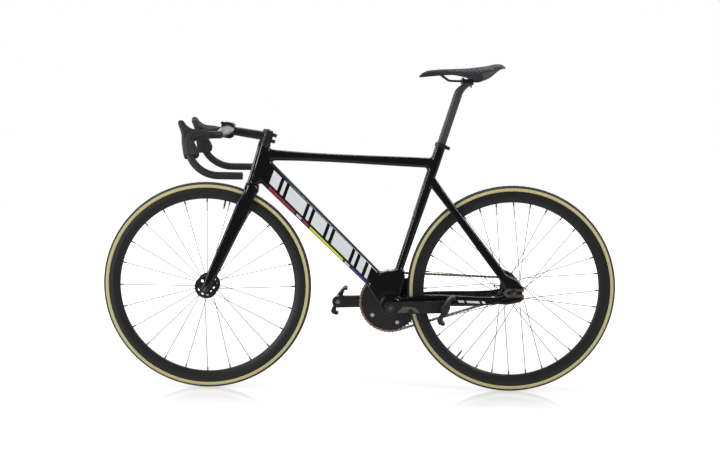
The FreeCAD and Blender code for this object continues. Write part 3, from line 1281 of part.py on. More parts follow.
def spoke_set(middle, flange_radius, spread, pattern):
    """Spokes bent at the flange and screwed into nipples at the rim, and the holes they need.

    The pattern gives, for each spoke, its flange (+1 left), which face it leaves from (+1 outer), and its
    angles at hub and rim.
    """
    thin = size["spoke_radius"]
    hub_circle = worth(flange_radius) - size["spoke_inset"]
    nipple_seat = worth(rim_foot) - 0.2
    half_flange = size["flange_thickness"] / 2
    half_spread = worth(spread) / 2
    rim_offset = 1.5
    bend_radius = 1.9
    head_radius, head_height = 1.9, 0.9
    hole_gap = 0.25
    pieces = []
    drills = []
    for flange, face, hub_angle, rim_angle in pattern:
        entry = round_point(middle, hub_circle, hub_angle)
        far = round_point(middle, nipple_seat, rim_angle) + LEFT * flange * rim_offset
        flat = far - entry
        flat.y = 0
        lie = half_flange + thin + size["spoke_gap"]
        if face > 0:
            run = flange_run(hub_circle, worth(flange_radius), hub_angle, flat / flat.Length)
            lean = (half_spread + lie - rim_offset) / (flat.Length - run)
            lie += lean * run
        outward = LEFT * flange * face
        flange_middle = entry + LEFT * flange * half_spread
        bend = flange_middle + outward * lie
        head = flange_middle - outward * (half_flange + size["spoke_gap"])
        way = (bend - far).normalize()
        spoke = bent_rod([head, bend, far], [bend_radius], thin)
        knob = Part.makeCylinder(head_radius, head_height, head, -outward)
        pieces.append(spoke.fuse(knob))
        pieces.append(tube_along(far + way * size["nipple_length"], far, size["nipple_radius"], thin + 0.02))
        drills.append(Part.makeCylinder(thin + hole_gap, (bend - head).Length, head, outward))
    return coded("spokes", Part.makeCompound(pieces)), coded("drills", Part.makeCompound(drills))


def front_pattern():
    """Pairs of spokes that share an angle at the hub and part by half a step to each side at the rim."""
    count = int(size["front_spokes"])
    step = 2 * math.pi / (count / 2)
    rows = []
    for index in range(count // 2):
        angle = index * step + step / 4
        rows += [(1, 1, angle, angle - step / 4), (-1, 1, angle, angle + step / 4)]
    return rows


def rear_pattern():
    """Crossed spokes: each flange's spokes lean forward and back in turn, three crossings out."""
    per_side = int(size["rear_spokes"]) // 2
    step = 2 * math.pi / per_side
    rows = []
    for flange in (1, -1):
        start = 0 if flange > 0 else step / 2
        for index in range(per_side):
            lean_way = 1 if index % 2 == 0 else -1
            angle = start + index * step
            rows.append((flange, lean_way, angle, angle + lean_way * 3 * step))
    return rows


def hub_bearings(middle, axle_radius):
    seat = "hub_half_width-hub_bearing_width"
    bearing = turned(across(middle), [
        (f"{axle_radius}+running_clearance", seat), ("hub_bearing_radius", seat),
        ("hub_bearing_radius", "hub_half_width"), (f"{axle_radius}+running_clearance", "hub_half_width")])
    return pair(bearing)


def valve(middle, angle):
    """A threaded valve stem that points from the rim to the hub."""
    root = round_point(middle, worth(rim_foot) - 0.05, math.radians(angle))
    inward = (middle - root).normalize()
    stem = rod(facing(root, inward), "valve_radius", "valve_length-8")
    core = rod(facing(root + inward * (size["valve_length"] - 8), inward), "valve_radius-0.8", 8)
    return fuse(stem, core)


VALVE_ANGLES = {"front": 102, "rear": -53}
WHEELS = (("front", front_axle, front_pattern(), None), ("rear", rear_axle, rear_pattern(), sprocket_bore))
window_circle = (size["front_flange_radius"] - 2 * size["spoke_inset"] + size["hub_boss_radius"]) / 2
window_count = 9
for name, middle, pattern, right_end in WHEELS:
    axle_radius = f"{name}_axle_radius"
    flange_radius = f"{name}_flange_radius"
    spread = f"{name}_flange_spread"
    spokes, drills = spoke_set(middle, flange_radius, spread, pattern)
    hub_blank = hub(middle, f"{axle_radius}+1.5", flange_radius, spread, right_end)
    windows = []
    if name == "front":
        window_angles = [2 * math.pi * (step + 0.5) / window_count for step in range(window_count)]
        window_spots = [round_point(middle, window_circle, angle) for angle in window_angles]
        windows = [cross_rod(spot, "flange_window_radius", "2*hub_half_width") for spot in window_spots]
    keep(cut(hub_blank, drills, *windows), f"{name}_hub")
    keep(hub_bearings(middle, axle_radius), f"{name}_hub_bearings")
    keep(spokes, f"{name}_spokes")
    keep(rim(middle), f"{name}_rim")
    keep(tyre(middle), f"{name}_tyre")
    keep(valve(middle, VALVE_ANGLES[name]), f"{name}_valve")

# Build, check and write

doc.recompute()
faults = [f"{item.Label}: {item.State}" for item in doc.Objects if {"Invalid", "Error"} & set(item.State)]
for item in made:
    if item.Shape.isNull() or not item.Shape.isValid() or not item.Shape.Solids:
        faults.append(f"{item.Label}: no valid solid")
if faults:
    raise RuntimeError("; ".join(faults))
os.makedirs("parts", exist_ok=True)
for item in made:
    item.Shape.exportStep(f"parts/{item.Label}.step")
    print(item.Label, len(item.Shape.Solids), f"{item.Shape.Volume / 1000:.1f} cm3")
print(len(made), "sub-parts; axis distance", round(chain_distance, 3), "crank axis", bracket)
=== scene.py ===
"""The looks of a fixed gear track bicycle, on the frame of its construction model.

Metres, +X forward, +Y to the rider's left, +Z up, origin on the ground midway between the axles.
"""

import json
import math

import bmesh
import bpy
import numpy as np
from mathutils import Matrix, Vector
from mathutils.bvhtree import BVHTree
from mathutils.kdtree import KDTree


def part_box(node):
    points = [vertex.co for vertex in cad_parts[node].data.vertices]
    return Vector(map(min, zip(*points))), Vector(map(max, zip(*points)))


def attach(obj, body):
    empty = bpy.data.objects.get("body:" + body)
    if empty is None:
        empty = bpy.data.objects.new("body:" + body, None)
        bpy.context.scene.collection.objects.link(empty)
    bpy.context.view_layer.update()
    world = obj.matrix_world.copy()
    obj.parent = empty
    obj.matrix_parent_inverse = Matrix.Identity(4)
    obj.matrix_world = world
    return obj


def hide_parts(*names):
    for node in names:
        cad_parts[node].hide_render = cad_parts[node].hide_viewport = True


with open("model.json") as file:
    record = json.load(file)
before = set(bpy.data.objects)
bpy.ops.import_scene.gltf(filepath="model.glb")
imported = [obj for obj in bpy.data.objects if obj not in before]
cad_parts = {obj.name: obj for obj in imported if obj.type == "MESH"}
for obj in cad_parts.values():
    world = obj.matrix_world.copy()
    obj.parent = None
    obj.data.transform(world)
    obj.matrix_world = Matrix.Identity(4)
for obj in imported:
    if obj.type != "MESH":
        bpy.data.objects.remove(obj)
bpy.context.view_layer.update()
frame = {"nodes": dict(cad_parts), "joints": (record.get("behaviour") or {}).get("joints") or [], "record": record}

bl_info = {
    "name": "Track Bicycle Looks",
    "version": (1, 0, 0),
    "blender": (4, 5, 0),
    "location": "View3D > Sidebar > Bicycle",
    "description": "Painted skins, upholstery, finishes and the studio of a track bicycle",
    "category": "Object",
}

JOINTS = {joint["name"]: joint for joint in frame["joints"]}
MM = 0.001
LEFT = Vector((0, 1, 0))
AHEAD = Vector((1, 0, 0))
UP = Vector((0, 0, 1))

STEER_SEAT = Vector(JOINTS["steering"]["pos_m"])
STEER_UP = Vector(JOINTS["steering"]["axis"]).normalized()
STEER_AHEAD = LEFT.cross(STEER_UP)
CRANK_AXIS = Vector(JOINTS["crank_spin"]["pos_m"])
SEAT_TOP = Vector(JOINTS["saddle_height"]["pos_m"])
SEAT_UP = Vector(JOINTS["saddle_height"]["axis"]).normalized()
FRONT_AXLE = Vector(JOINTS["front_wheel_spin"]["pos_m"])
REAR_AXLE = Vector(JOINTS["rear_wheel_spin"]["pos_m"])

# The middle of the bar's clamp, along the steering axis and ahead of it.
BAR_RISE = 0.140
BAR_REACH = 0.123
BAR_MIDDLE = STEER_SEAT + STEER_UP * BAR_RISE + STEER_AHEAD * BAR_REACH


# Settings

def length_setting(name, description, default):
    """A setting for a length."""
    return bpy.props.FloatProperty(name=name, description=description, default=default, unit="LENGTH")


def count_setting(name, description, default):
    """A setting for how often a step is repeated."""
    return bpy.props.IntProperty(name=name, description=description, default=default)


def colour_setting(name, description, default):
    """A setting for a colour."""
    return bpy.props.FloatVectorProperty(
        name=name, description=description, default=default, subtype="COLOR")


def angle_setting(name, description, default):
    """A setting for a turn, in radians."""
    return bpy.props.FloatProperty(name=name, description=description, default=default, subtype="ANGLE")


class FrameSkinSettings(bpy.types.PropertyGroup):
    """Sizes of the joined and filleted skins."""
    voxel: length_setting("Mesh size", "Edge length of the skin's mesh", 0.0024)
    fillet_reach: length_setting("Fillet reach", "How far from a junction the fillet starts", 0.016)
    fillet_rounds: count_setting("Fillet rounds", "How often the fillet is relaxed", 140)
    edge_rounds: count_setting("Edge rounds", "How often the sharp edges are relaxed", 8)
    even_rounds: count_setting("Even rounds", "How often the mesh's ripples are taken out", 60)
    shoulder_rounds: count_setting("Shoulder rounds", "How often the fork's shoulders are relaxed", 120)
    head_bore: length_setting("Head bore radius", "Bore for the headset", 0.018)
    head_length: length_setting("Head length", "Head tube between its faces", 0.126)
    bracket_bore: length_setting("Bracket bore radius", "Bore for the crank bearings", 0.020)
    post_depth: length_setting("Post bore depth", "Seatpost bore fore and aft", 0.02716)
    post_width: length_setting("Post bore width", "Seatpost bore across", 0.02216)
    post_bore: length_setting("Post bore length", "How deep the seatpost can go", 0.185)


class GraphicSettings(bpy.types.PropertyGroup):
    """Colours of the painted pattern."""
    white: colour_setting("White", "Blocks on the down tube", (0.47, 0.50, 0.505))
    red: colour_setting("Red", "Red part of the stripe", (0.27, 0.011, 0.014))
    yellow: colour_setting("Yellow", "Yellow part of the stripe", (0.52, 0.52, 0.03))
    grey: colour_setting("Grey", "Grey part of the stripe", (0.42, 0.42, 0.42))
    violet: colour_setting("Violet", "Violet part of the stripe", (0.046, 0.022, 0.25))
    tan: colour_setting("Sidewall", "Tyre sidewall", (0.40, 0.365, 0.165))


class BarSettings(bpy.types.PropertyGroup):
    """Sizes of the handlebar's top and hoods."""
    clamp_radius: length_setting("Clamp radius", "Bar inside the stem's clamp", 0.0159)
    chord: length_setting("Blade", "Flat bar top fore and aft", 0.046)
    hood_roll: length_setting("Hood rounding", "How far in from its outline a hood is rounded", 0.017)
    hood_place: length_setting("Hood place", "Hood from the middle", 0.142)
    tail_length: length_setting("Hood tail", "Length over which a hood runs out on the bar", 0.036)
    bar_droop: length_setting("Bar droop", "Grips below the clamp", 0.009)
    grip_radius: length_setting("Grip radius", "Taped bar", 0.0115)


class SaddleSettings(bpy.types.PropertyGroup):
    """Sizes of the upholstered saddle."""
    length: length_setting("Length", "Nose to tail", 0.268)
    width: length_setting("Width", "Across the wings", 0.136)
    padding: length_setting("Padding", "Thickness of the pad", 0.011)
    rim_roll: length_setting("Rolled edge", "How far the cover turns in at its edge", 0.004)
    fill: bpy.props.FloatProperty(
        name="Fill", description="How tight the padding is", default=0.9, subtype="FACTOR")


class StageSettings(bpy.types.PropertyGroup):
    """Camera of the studio."""
    eye: bpy.props.FloatVectorProperty(
        name="Eye", description="Camera position", default=(-0.0324, 3.8362, 1.0147), subtype="TRANSLATION")
    yaw: angle_setting("Yaw", "Camera turn", 0.0083)
    pitch: angle_setting("Pitch", "Camera tilt", -0.1271)
    roll: angle_setting("Roll", "Camera roll", 0.0118)
    lens: bpy.props.FloatProperty(
        name="Lens", description="Focal length, millimetres", default=60.5, unit="CAMERA")


class BicycleSettings(bpy.types.PropertyGroup):
    """Everything that the panel shows."""
    skin: bpy.props.PointerProperty(type=FrameSkinSettings)
    graphics: bpy.props.PointerProperty(type=GraphicSettings)
    bar: bpy.props.PointerProperty(type=BarSettings)
    saddle: bpy.props.PointerProperty(type=SaddleSettings)
    stage: bpy.props.PointerProperty(type=StageSettings)


# Shader building

class Graph:
    """Short calls for adding nodes to a node tree and joining them."""

    def __init__(self, tree):
        self.tree = tree

    def feed(self, socket, value):
        """Link a socket to an input, or set the input's value."""
        if isinstance(value, bpy.types.NodeSocket):
            self.tree.links.new(value, socket)
        else:
            socket.default_value = value

    def add(self, kind, inputs=None, **settings):
        """A new node with its settings and inputs."""
        node = self.tree.nodes.new(kind)
        for name, setting in settings.items():
            setattr(node, name, setting)
        for name, value in (inputs or {}).items():
            self.feed(node.inputs[name], value)
        return node

    def math(self, operation, *values):
        node = self.add("ShaderNodeMath", operation=operation)
        for socket, value in zip(node.inputs, values):
            self.feed(socket, value)
        return node.outputs[0]

    def vector(self, operation, *values):
        node = self.add("ShaderNodeVectorMath", operation=operation)
        for socket, value in zip(node.inputs, values):
            self.feed(socket, value)
        return node.outputs["Value" if operation in ("DOT_PRODUCT", "LENGTH") else "Vector"]

    def mix(self, factor, first, second):
        node = self.add("ShaderNodeMix", data_type="RGBA")
        self.feed(node.inputs[0], factor)
        self.feed(node.inputs[6], first)
        self.feed(node.inputs[7], second)
        return node.outputs[2]

    def mix_shader(self, factor, first, second):
        node = self.add("ShaderNodeMixShader", {"Fac": factor})
        self.feed(node.inputs[1], first)
        self.feed(node.inputs[2], second)
        return node.outputs[0]

    def ramp(self, value, edge, soft):
        """0 below an edge, 1 above it."""
        shifted = self.math("SUBTRACT", value, edge)
        node = self.add("ShaderNodeMapRange", {"From Min": -soft, "From Max": soft, "Value": shifted},
                        interpolation_type="SMOOTHSTEP")
        return node.outputs["Result"]

    def span(self, value, low, high, soft):
        """1 between low and high, falling to 0 over a soft edge."""
        return self.math("SUBTRACT", self.ramp(value, low, soft), self.ramp(value, high, soft))

    def inverse(self, value):
        """1 where a mask is 0."""
        return self.math("SUBTRACT", 1.0, value)

    def place(self):
        """The point on the piece."""
        return self.add("ShaderNodeTexCoord").outputs["Object"]

    def facing(self):
        """The parts of the surface's direction."""
        normal = self.add("ShaderNodeNewGeometry").outputs["Normal"]
        return self.parts(normal)

    def parts(self, vector):
        return self.add("ShaderNodeSeparateXYZ", {"Vector": vector}).outputs

    def noise(self, place, scale, detail):
        """Soft cloudy values from 0 to 1."""
        node = self.add("ShaderNodeTexNoise", {"Vector": place, "Scale": scale, "Detail": detail})
        return node.outputs[0]

    def bump(self, strength, distance, height, normal):
        """A normal roughened by a height."""
        node = self.add("ShaderNodeBump", {"Strength": strength, "Distance": distance, "Height": height,
                                           "Normal": normal})
        return node.outputs["Normal"]

    def worn(self, **inputs):
        """The outputs of the worn surface group."""
        return self.group("Worn Surface", **inputs)

    def group(self, name, **inputs):
        """The outputs of a shared group, placed with its own values."""
        node = self.add("ShaderNodeGroup", node_tree=bpy.data.node_groups[name])
        for key, value in inputs.items():
            self.feed(node.inputs[key.replace("_", " ").title()], value)
        return node.outputs


def new_group(name, inputs, outputs):
    """A shader group with its sockets: its graph, what it is given and what it gives."""
    tree = bpy.data.node_groups.new(name, "ShaderNodeTree")
    kinds = {"float": "NodeSocketFloat", "vector": "NodeSocketVector"}
    for label, kind, default in inputs:
        socket = tree.interface.new_socket(name=label, in_out="INPUT", socket_type=kinds[kind])
        socket.default_value = default
    for label, kind in outputs:
        tree.interface.new_socket(name=label, in_out="OUTPUT", socket_type=kinds[kind])
    graph = Graph(tree)
    return graph, graph.add("NodeGroupInput").outputs, graph.add("NodeGroupOutput").inputs


def worn_surface_group():
    """Patchy roughness, fine grain and rounded edges."""
    graph, given, result = new_group(
        "Worn Surface",
        [("Roughness", "float", 0.4), ("Spread", "float", 0.1), ("Scale", "float", 60.0),
         ("Grain", "float", 900.0), ("Bump", "float", 0.05), ("Edge", "float", 0.0006)],
        [("Roughness", "float"), ("Normal", "vector"), ("Patch", "float")])
    place = graph.place()
    patch = graph.noise(place, given["Scale"], 4.0)
    grain = graph.noise(place, given["Grain"], 2.0)
    shift = graph.math("MULTIPLY", graph.math("SUBTRACT", patch, 0.5), given["Spread"])
    rounded = graph.add("ShaderNodeBevel", {"Radius": given["Edge"]}, samples=4).outputs["Normal"]
    graph.feed(result["Roughness"], graph.math("ADD", given["Roughness"], shift))
    graph.feed(result["Normal"], graph.bump(given["Bump"], 0.0005, grain, rounded))
    graph.feed(result["Patch"], patch)


def wheel_place_group():
    """Distance from an axle and turn round it."""
    graph, given, result = new_group(
        "Wheel Place", [("Centre", "vector", (0, 0, 0))], [("Radius", "float"), ("Turn", "float")])
    local = graph.vector("SUBTRACT", graph.place(), given["Centre"])
    parts = graph.parts(local)
    flat = graph.vector("MULTIPLY", local, (1, 0, 1))
    graph.feed(result["Radius"], graph.vector("LENGTH", flat))
    graph.feed(result["Turn"], graph.math("ARCTAN2", parts["Z"], parts["X"]))


def painted_block_group():
    """A slanting block of paint between two places along a tube and two across it."""
    graph, given, result = new_group(
        "Painted Block",
        [("Along", "float", 0.0), ("Across", "float", 0.0), ("Start", "float", 0.0), ("End", "float", 0.1),
         ("Low", "float", -0.01), ("High", "float", 0.01), ("Slant", "float", 0.5)],
        [("Mask", "float")])
    paint_edge = 0.0004
    leaning = graph.math("SUBTRACT", given["Along"], graph.math("MULTIPLY", given["Across"], given["Slant"]))
    lengthwise = graph.span(leaning, given["Start"], given["End"], paint_edge)
    crosswise = graph.span(given["Across"], given["Low"], given["High"], paint_edge)
    graph.feed(result["Mask"], graph.math("MULTIPLY", lengthwise, crosswise))


def look(name):
    """The name of the material for a slot."""
    return f"{name}_look"


def new_material(name):
    """The graph of a new material, still empty."""
    material = bpy.data.materials.new(look(name))
    material.use_nodes = True
    material.node_tree.nodes.clear()
    return Graph(material.node_tree)


def finish_material(graph, colour, surface, **inputs):
    """Close a material with a principled shader that takes roughness and normal from a worn surface."""
    values = {"Base Color": colour, "Roughness": surface["Roughness"], "Normal": surface["Normal"]}
    values.update(inputs)
    shader = graph.add("ShaderNodeBsdfPrincipled", values)
    graph.add("ShaderNodeOutputMaterial", {"Surface": shader.outputs[0]})


def rgba(colour):
    return (*colour, 1.0)


# Finishes of two mottled tones.
PLAIN_FINISHES = {
    "black_alloy": dict(first=(0.0065, 0.0065, 0.0075), second=(0.010, 0.010, 0.011), coat=0.25,
        roughness=0.38, spread=0.12, scale=70, grain=1600, bump=0.04, edge=0.0007),
    "post_finish": dict(first=(0.030, 0.030, 0.033), second=(0.040, 0.040, 0.043), coat=0.15,
        roughness=0.42, spread=0.10, scale=40, grain=1500, bump=0.05, edge=0.0005),
    "bar_finish": dict(first=(0.090, 0.087, 0.110), second=(0.115, 0.111, 0.138), metallic=0.2, coat=0.5,
        roughness=0.36, spread=0.10, scale=60, grain=1500, bump=0.03, edge=0.0008),
    "plug_plastic": dict(first=(0.014, 0.014, 0.014), second=(0.020, 0.020, 0.020),
        roughness=0.55, spread=0.10, scale=90, grain=1400, bump=0.08, edge=0.0006),
    "spoke_steel": dict(first=(0.022, 0.022, 0.024), second=(0.036, 0.036, 0.038), metallic=0.3,
        roughness=0.36, spread=0.12, scale=40, grain=1200, bump=0.02, edge=0.0001),
    "bearing_steel": dict(first=(0.42, 0.42, 0.43), second=(0.52, 0.52, 0.53), metallic=1.0,
        roughness=0.30, spread=0.16, scale=90, grain=1500, bump=0.03, edge=0.0004),
    "bolt_steel": dict(first=(0.14, 0.14, 0.145), second=(0.26, 0.26, 0.265), metallic=1.0,
        roughness=0.33, spread=0.16, scale=140, grain=1500, bump=0.04, edge=0.0005),
    "plate_bronze": dict(first=(0.20, 0.135, 0.105), second=(0.30, 0.22, 0.16), metallic=0.9,
        roughness=0.42, spread=0.18, scale=120, grain=900, bump=0.08, edge=0.0005),
    "saddle_plastic": dict(first=(0.014, 0.014, 0.015), second=(0.020, 0.020, 0.021),
        roughness=0.50, spread=0.12, scale=60, grain=1200, bump=0.08, edge=0.0006),
    "rail_steel": dict(first=(0.055, 0.055, 0.060), second=(0.085, 0.085, 0.090), metallic=0.8,
        roughness=0.36, spread=0.12, scale=60, grain=1200, bump=0.03, edge=0.0003),
    "pedal_plastic": dict(first=(0.010, 0.010, 0.011), second=(0.018, 0.018, 0.019),
        roughness=0.46, spread=0.16, scale=90, grain=1000, bump=0.08, edge=0.0010),
}


def plain_material(name, first, second, metallic=0.0, coat=0.0, **worn):
    """A finish of two mottled tones with worn roughness, fine grain and rounded edges."""
    graph = new_material(name)
    surface = graph.worn(**worn)
    tone = graph.mix(surface["Patch"], rgba(first), rgba(second))
    finish_material(graph, tone, surface, **{"Metallic": metallic, "Coat Weight": coat})


# The line along the down tube that the pattern is measured from.
TUBE_TOP = STEER_SEAT + STEER_UP * 62 * MM
TUBE_FOOT = CRANK_AXIS + AHEAD * 50 * MM + UP * 80 * MM
TUBE_WAY = (TUBE_FOOT - TUBE_TOP).normalized()
TUBE_RISE = Vector((TUBE_WAY.z, 0, -TUBE_WAY.x))

FRAME_BLACK = (0.0032, 0.0032, 0.0036)
# White blocks on the down tube: start and end along the tube, millimetres.
WHITE_BLOCKS = [(58, 92), (104, 116), (128, 206), (218, 230), (242, 296), (308, 320), (332, 410), (422, 434),
                (446, 470), (482, 494)]
BLOCK_LOW = -16 * MM
BLOCK_HIGH = 24 * MM
# The stripe under them: colour, start and end along the tube, millimetres.
STRIPE = [("red", 62, 176), ("grey", 184, 206), ("red", 214, 236), ("yellow", 244, 392), ("grey", 400, 422),
          ("violet", 430, 496)]
STRIPE_LOW = -30 * MM
STRIPE_HIGH = -23 * MM
BLOCK_SLANT = -0.45
# Dashes on the chainstays: start and end from the crank axis backwards, millimetres.
STAY_DASHES = [(196, 214), (222, 262), (270, 280)]
# Their lower and upper edges, from the height of the axle.
DASH_LOW = -36 * MM
DASH_HIGH = -29 * MM
DASH_SLANT = -0.6


def frame_paint():
    """Gloss black lacquer with the pattern under it."""
    colours = bpy.context.scene.bicycle.graphics
    graph = new_material("frame_paint")
    place = graph.place()
    local = graph.vector("SUBTRACT", place, TUBE_TOP)
    along = graph.vector("DOT_PRODUCT", local, TUBE_WAY)
    across = graph.vector("DOT_PRODUCT", local, TUBE_RISE)
    stay = graph.parts(graph.vector("SUBTRACT", place, REAR_AXLE))
    back = graph.math("SUBTRACT", CRANK_AXIS.x - REAR_AXLE.x, stay["X"])
    outward = graph.math("MULTIPLY", graph.facing()["Y"], graph.math("SIGN", stay["Y"]))
    outer = graph.ramp(outward, 0.5, 0.1)
    tube = {"along": along, "across": across, "slant": BLOCK_SLANT}
    chainstay = {"along": back, "across": stay["Z"], "slant": DASH_SLANT}
    blocks = [(tube, BLOCK_LOW, BLOCK_HIGH, "white", *ends) for ends in WHITE_BLOCKS]
    blocks += [(tube, STRIPE_LOW, STRIPE_HIGH, *row) for row in STRIPE]
    blocks += [(chainstay, DASH_LOW, DASH_HIGH, "white", *ends) for ends in STAY_DASHES]
    colour = rgba(FRAME_BLACK)
    for line, low, high, name, start, end in blocks:
        ends = {"start": start * MM, "end": end * MM, "low": low, "high": high}
        mask = graph.group("Painted Block", **line, **ends)["Mask"]
        colour = graph.mix(graph.math("MULTIPLY", mask, outer), colour, rgba(getattr(colours, name)))
    surface = graph.worn(roughness=0.30, spread=0.06, scale=25.0, grain=420.0, bump=0.010, edge=0.0)
    finish_material(graph, colour, surface,
                    **{"Coat Weight": 1.0, "Coat Roughness": 0.045, "Specular IOR Level": 0.15})


# Distances from the axle where the tyre's tread and its bead strip end, and how soft these edges are.
TREAD_EDGE = 326.2 * MM
BEAD_EDGE = 316.2 * MM
BAND_SOFT = 0.0003
# How fast the casing's threads and the tread's cuts follow each other, round the wheel and outwards.
THREADS_ROUND = 900.0
THREADS_OUT = 2600.0
CUTS_ROUND = 520.0
TREAD_BLACK = (0.020, 0.019, 0.021)
THREAD_TONE = (0.28, 0.25, 0.11)


def tyre_material(name, centre):
    """Tan casing with a black tread and a black bead strip, told apart by the distance from the axle."""
    tan = bpy.context.scene.bicycle.graphics.tan
    graph = new_material(name)
    wheel = graph.group("Wheel Place", centre=centre)
    tread = graph.ramp(wheel["Radius"], TREAD_EDGE, BAND_SOFT)
    bead = graph.inverse(graph.ramp(wheel["Radius"], BEAD_EDGE, BAND_SOFT))
    surface = graph.worn(roughness=0.72, spread=0.12, scale=35.0, grain=700.0, bump=0.12, edge=0.0)
    lay = graph.math("ADD", graph.math("MULTIPLY", wheel["Turn"], THREADS_ROUND),
                     graph.math("MULTIPLY", wheel["Radius"], THREADS_OUT))
    threads = graph.math("SINE", lay)
    casing = graph.mix(surface["Patch"], rgba(tan), rgba([0.86 * value for value in tan]))
    casing = graph.mix(graph.math("MULTIPLY_ADD", threads, 0.06, 0.06), casing, rgba(THREAD_TONE))
    colour = graph.mix(graph.math("MAXIMUM", tread, bead), casing, rgba(TREAD_BLACK))
    cuts = graph.math("SINE", graph.math("MULTIPLY", wheel["Turn"], CUTS_ROUND))
    height = graph.math("MULTIPLY", graph.math("ADD", cuts, threads), 0.5)
    finish_material(graph, colour, surface, Normal=graph.bump(0.12, 0.0002, height, surface["Normal"]))


def rim_material(name, centre):
    """Satin black rim with a faint lay of fibres round it."""
    graph = new_material(name)
    wheel = graph.group("Wheel Place", centre=centre)
    surface = graph.worn(roughness=0.44, spread=0.10, scale=30.0, grain=1200.0, bump=0.05, edge=0.0004)
    lay = graph.math("MULTIPLY_ADD", wheel["Turn"], 300.0, graph.math("MULTIPLY", wheel["Radius"], 1500.0))
    light = graph.math("MULTIPLY_ADD", graph.math("SINE", lay), 0.25, 0.5)
    colour = graph.mix(light, rgba((0.0065, 0.0062, 0.0068)), rgba((0.0095, 0.0091, 0.0098)))
    finish_material(graph, colour, surface, **{"Coat Weight": 0.12, "Coat Roughness": 0.3})


def chain_material():
    """Brown oiled steel, brighter where the plates rub."""
    graph = new_material("chain_steel")
    surface = graph.worn(roughness=0.42, spread=0.24, scale=210.0, grain=900.0, bump=0.08, edge=0.0004)
    rubbed = graph.ramp(surface["Patch"], 0.5, 0.16)
    colour = graph.mix(rubbed, rgba((0.15, 0.085, 0.064)), rgba((0.38, 0.28, 0.22)))
    finish_material(graph, colour, surface, Metallic=0.35)


# Distance from the crank axis where the chainring's teeth start.
TOOTH_FOOT = 0.0945


def ring_material():
    """Black chainring whose teeth are worn to bare metal, with faint turning marks."""
    graph = new_material("ring_finish")
    wheel = graph.group("Wheel Place", centre=CRANK_AXIS)
    surface = graph.worn(roughness=0.40, spread=0.12, scale=60.0, grain=1300.0, bump=0.04, edge=0.0005)
    bare = graph.ramp(wheel["Radius"], TOOTH_FOOT, 0.0012)
    marks = graph.math("SINE", graph.math("MULTIPLY", wheel["Radius"], 9000.0))
    turned = graph.math("MULTIPLY_ADD", marks, 0.3, 0.5)
    black = graph.mix(turned, rgba((0.009, 0.009, 0.010)), rgba((0.015, 0.015, 0.016)))
    colour = graph.mix(bare, black, rgba((0.26, 0.19, 0.155)))
    finish_material(graph, colour, surface, Metallic=graph.math("MULTIPLY", bare, 0.4))


# Just inside the outer faces of the cranks, from the middle plane.
CRANK_FACE = 0.0722
# Facets on these faces, measured from the crank axis along and across the arm.
CRANK_FACETS = [
    {"start": 0.034, "end": 0.062, "low": -0.013, "high": 0.006, "slant": 0.9},
    {"start": 0.066, "end": 0.082, "low": -0.013, "high": 0.004, "slant": -0.9},
]


def crank_material():
    """Satin black cranks with two grey facets painted on the outer face."""
    graph = new_material("crank_finish")
    parts = graph.parts(graph.vector("SUBTRACT", graph.place(), CRANK_AXIS))
    reach = graph.math("ABSOLUTE", parts["X"])
    outer = graph.ramp(graph.math("ABSOLUTE", parts["Y"]), CRANK_FACE, 0.0004)
    arm = {"along": reach, "across": parts["Z"]}
    first, second = [graph.group("Painted Block", **arm, **facet)["Mask"] for facet in CRANK_FACETS]
    grey = graph.math("MULTIPLY", graph.math("MAXIMUM", first, second), outer)
    surface = graph.worn(roughness=0.32, spread=0.10, scale=40.0, grain=1200.0, bump=0.03, edge=0.0016)
    black = graph.mix(surface["Patch"], rgba((0.0065, 0.0065, 0.0070)), rgba((0.010, 0.010, 0.011)))
    colour = graph.mix(grey, black, rgba((0.060, 0.058, 0.052)))
    finish_material(graph, colour, surface, **{"Coat Weight": 0.5, "Coat Roughness": 0.12})


# Distance from the crank axis between the crank bolts' caps and the chainring's bolts.
RING_BOLT_SIDE = 0.05


def ring_bolt_glint_material():
    """Light grey chainring bolts and black crank bolt caps, told apart by the distance from the crank axis; the
    bolts' light grey is partly their steel and partly a painted highlight for the glints on their heads.
    """
    graph = new_material("ring_bolts")
    wheel = graph.group("Wheel Place", centre=CRANK_AXIS)
    surface = graph.worn(roughness=0.36, spread=0.16, scale=140.0, grain=1500.0, bump=0.04, edge=0.0005)
    ring_bolt_glint = graph.ramp(wheel["Radius"], RING_BOLT_SIDE, 0.002)
    # Painted highlight: the chainring bolts are lighter than their steel would be, so that they show as bright
    # glints.
    steel = graph.mix(surface["Patch"], rgba((0.42, 0.42, 0.42)), rgba((0.60, 0.60, 0.60)))
    colour = graph.mix(ring_bolt_glint, rgba((0.030, 0.030, 0.031)), steel)
    finish_material(graph, colour, surface, Metallic=0.3)


def grip_material(name, first, second, pattern):
    """Moulded rubber with a fine raised pattern."""
    graph = new_material(name)
    surface = graph.worn(roughness=0.56, spread=0.16, scale=45.0, grain=1500.0, bump=0.10, edge=0.0)
    cells = graph.add("ShaderNodeTexVoronoi", {"Vector": graph.place(), "Scale": pattern})
    raised = graph.bump(0.18, 0.0004, cells.outputs["Distance"], surface["Normal"])
    colour = graph.mix(surface["Patch"], rgba(first), rgba(second))
    finish_material(graph, colour, surface, Normal=raised)


# The woven panel on the saddle's rear flanks: start and end from the tail, and how far the flanks face up.
PANEL_START = 12 * MM
PANEL_END = 74 * MM
FLANK_LOW = 0.04
FLANK_HIGH = 0.62


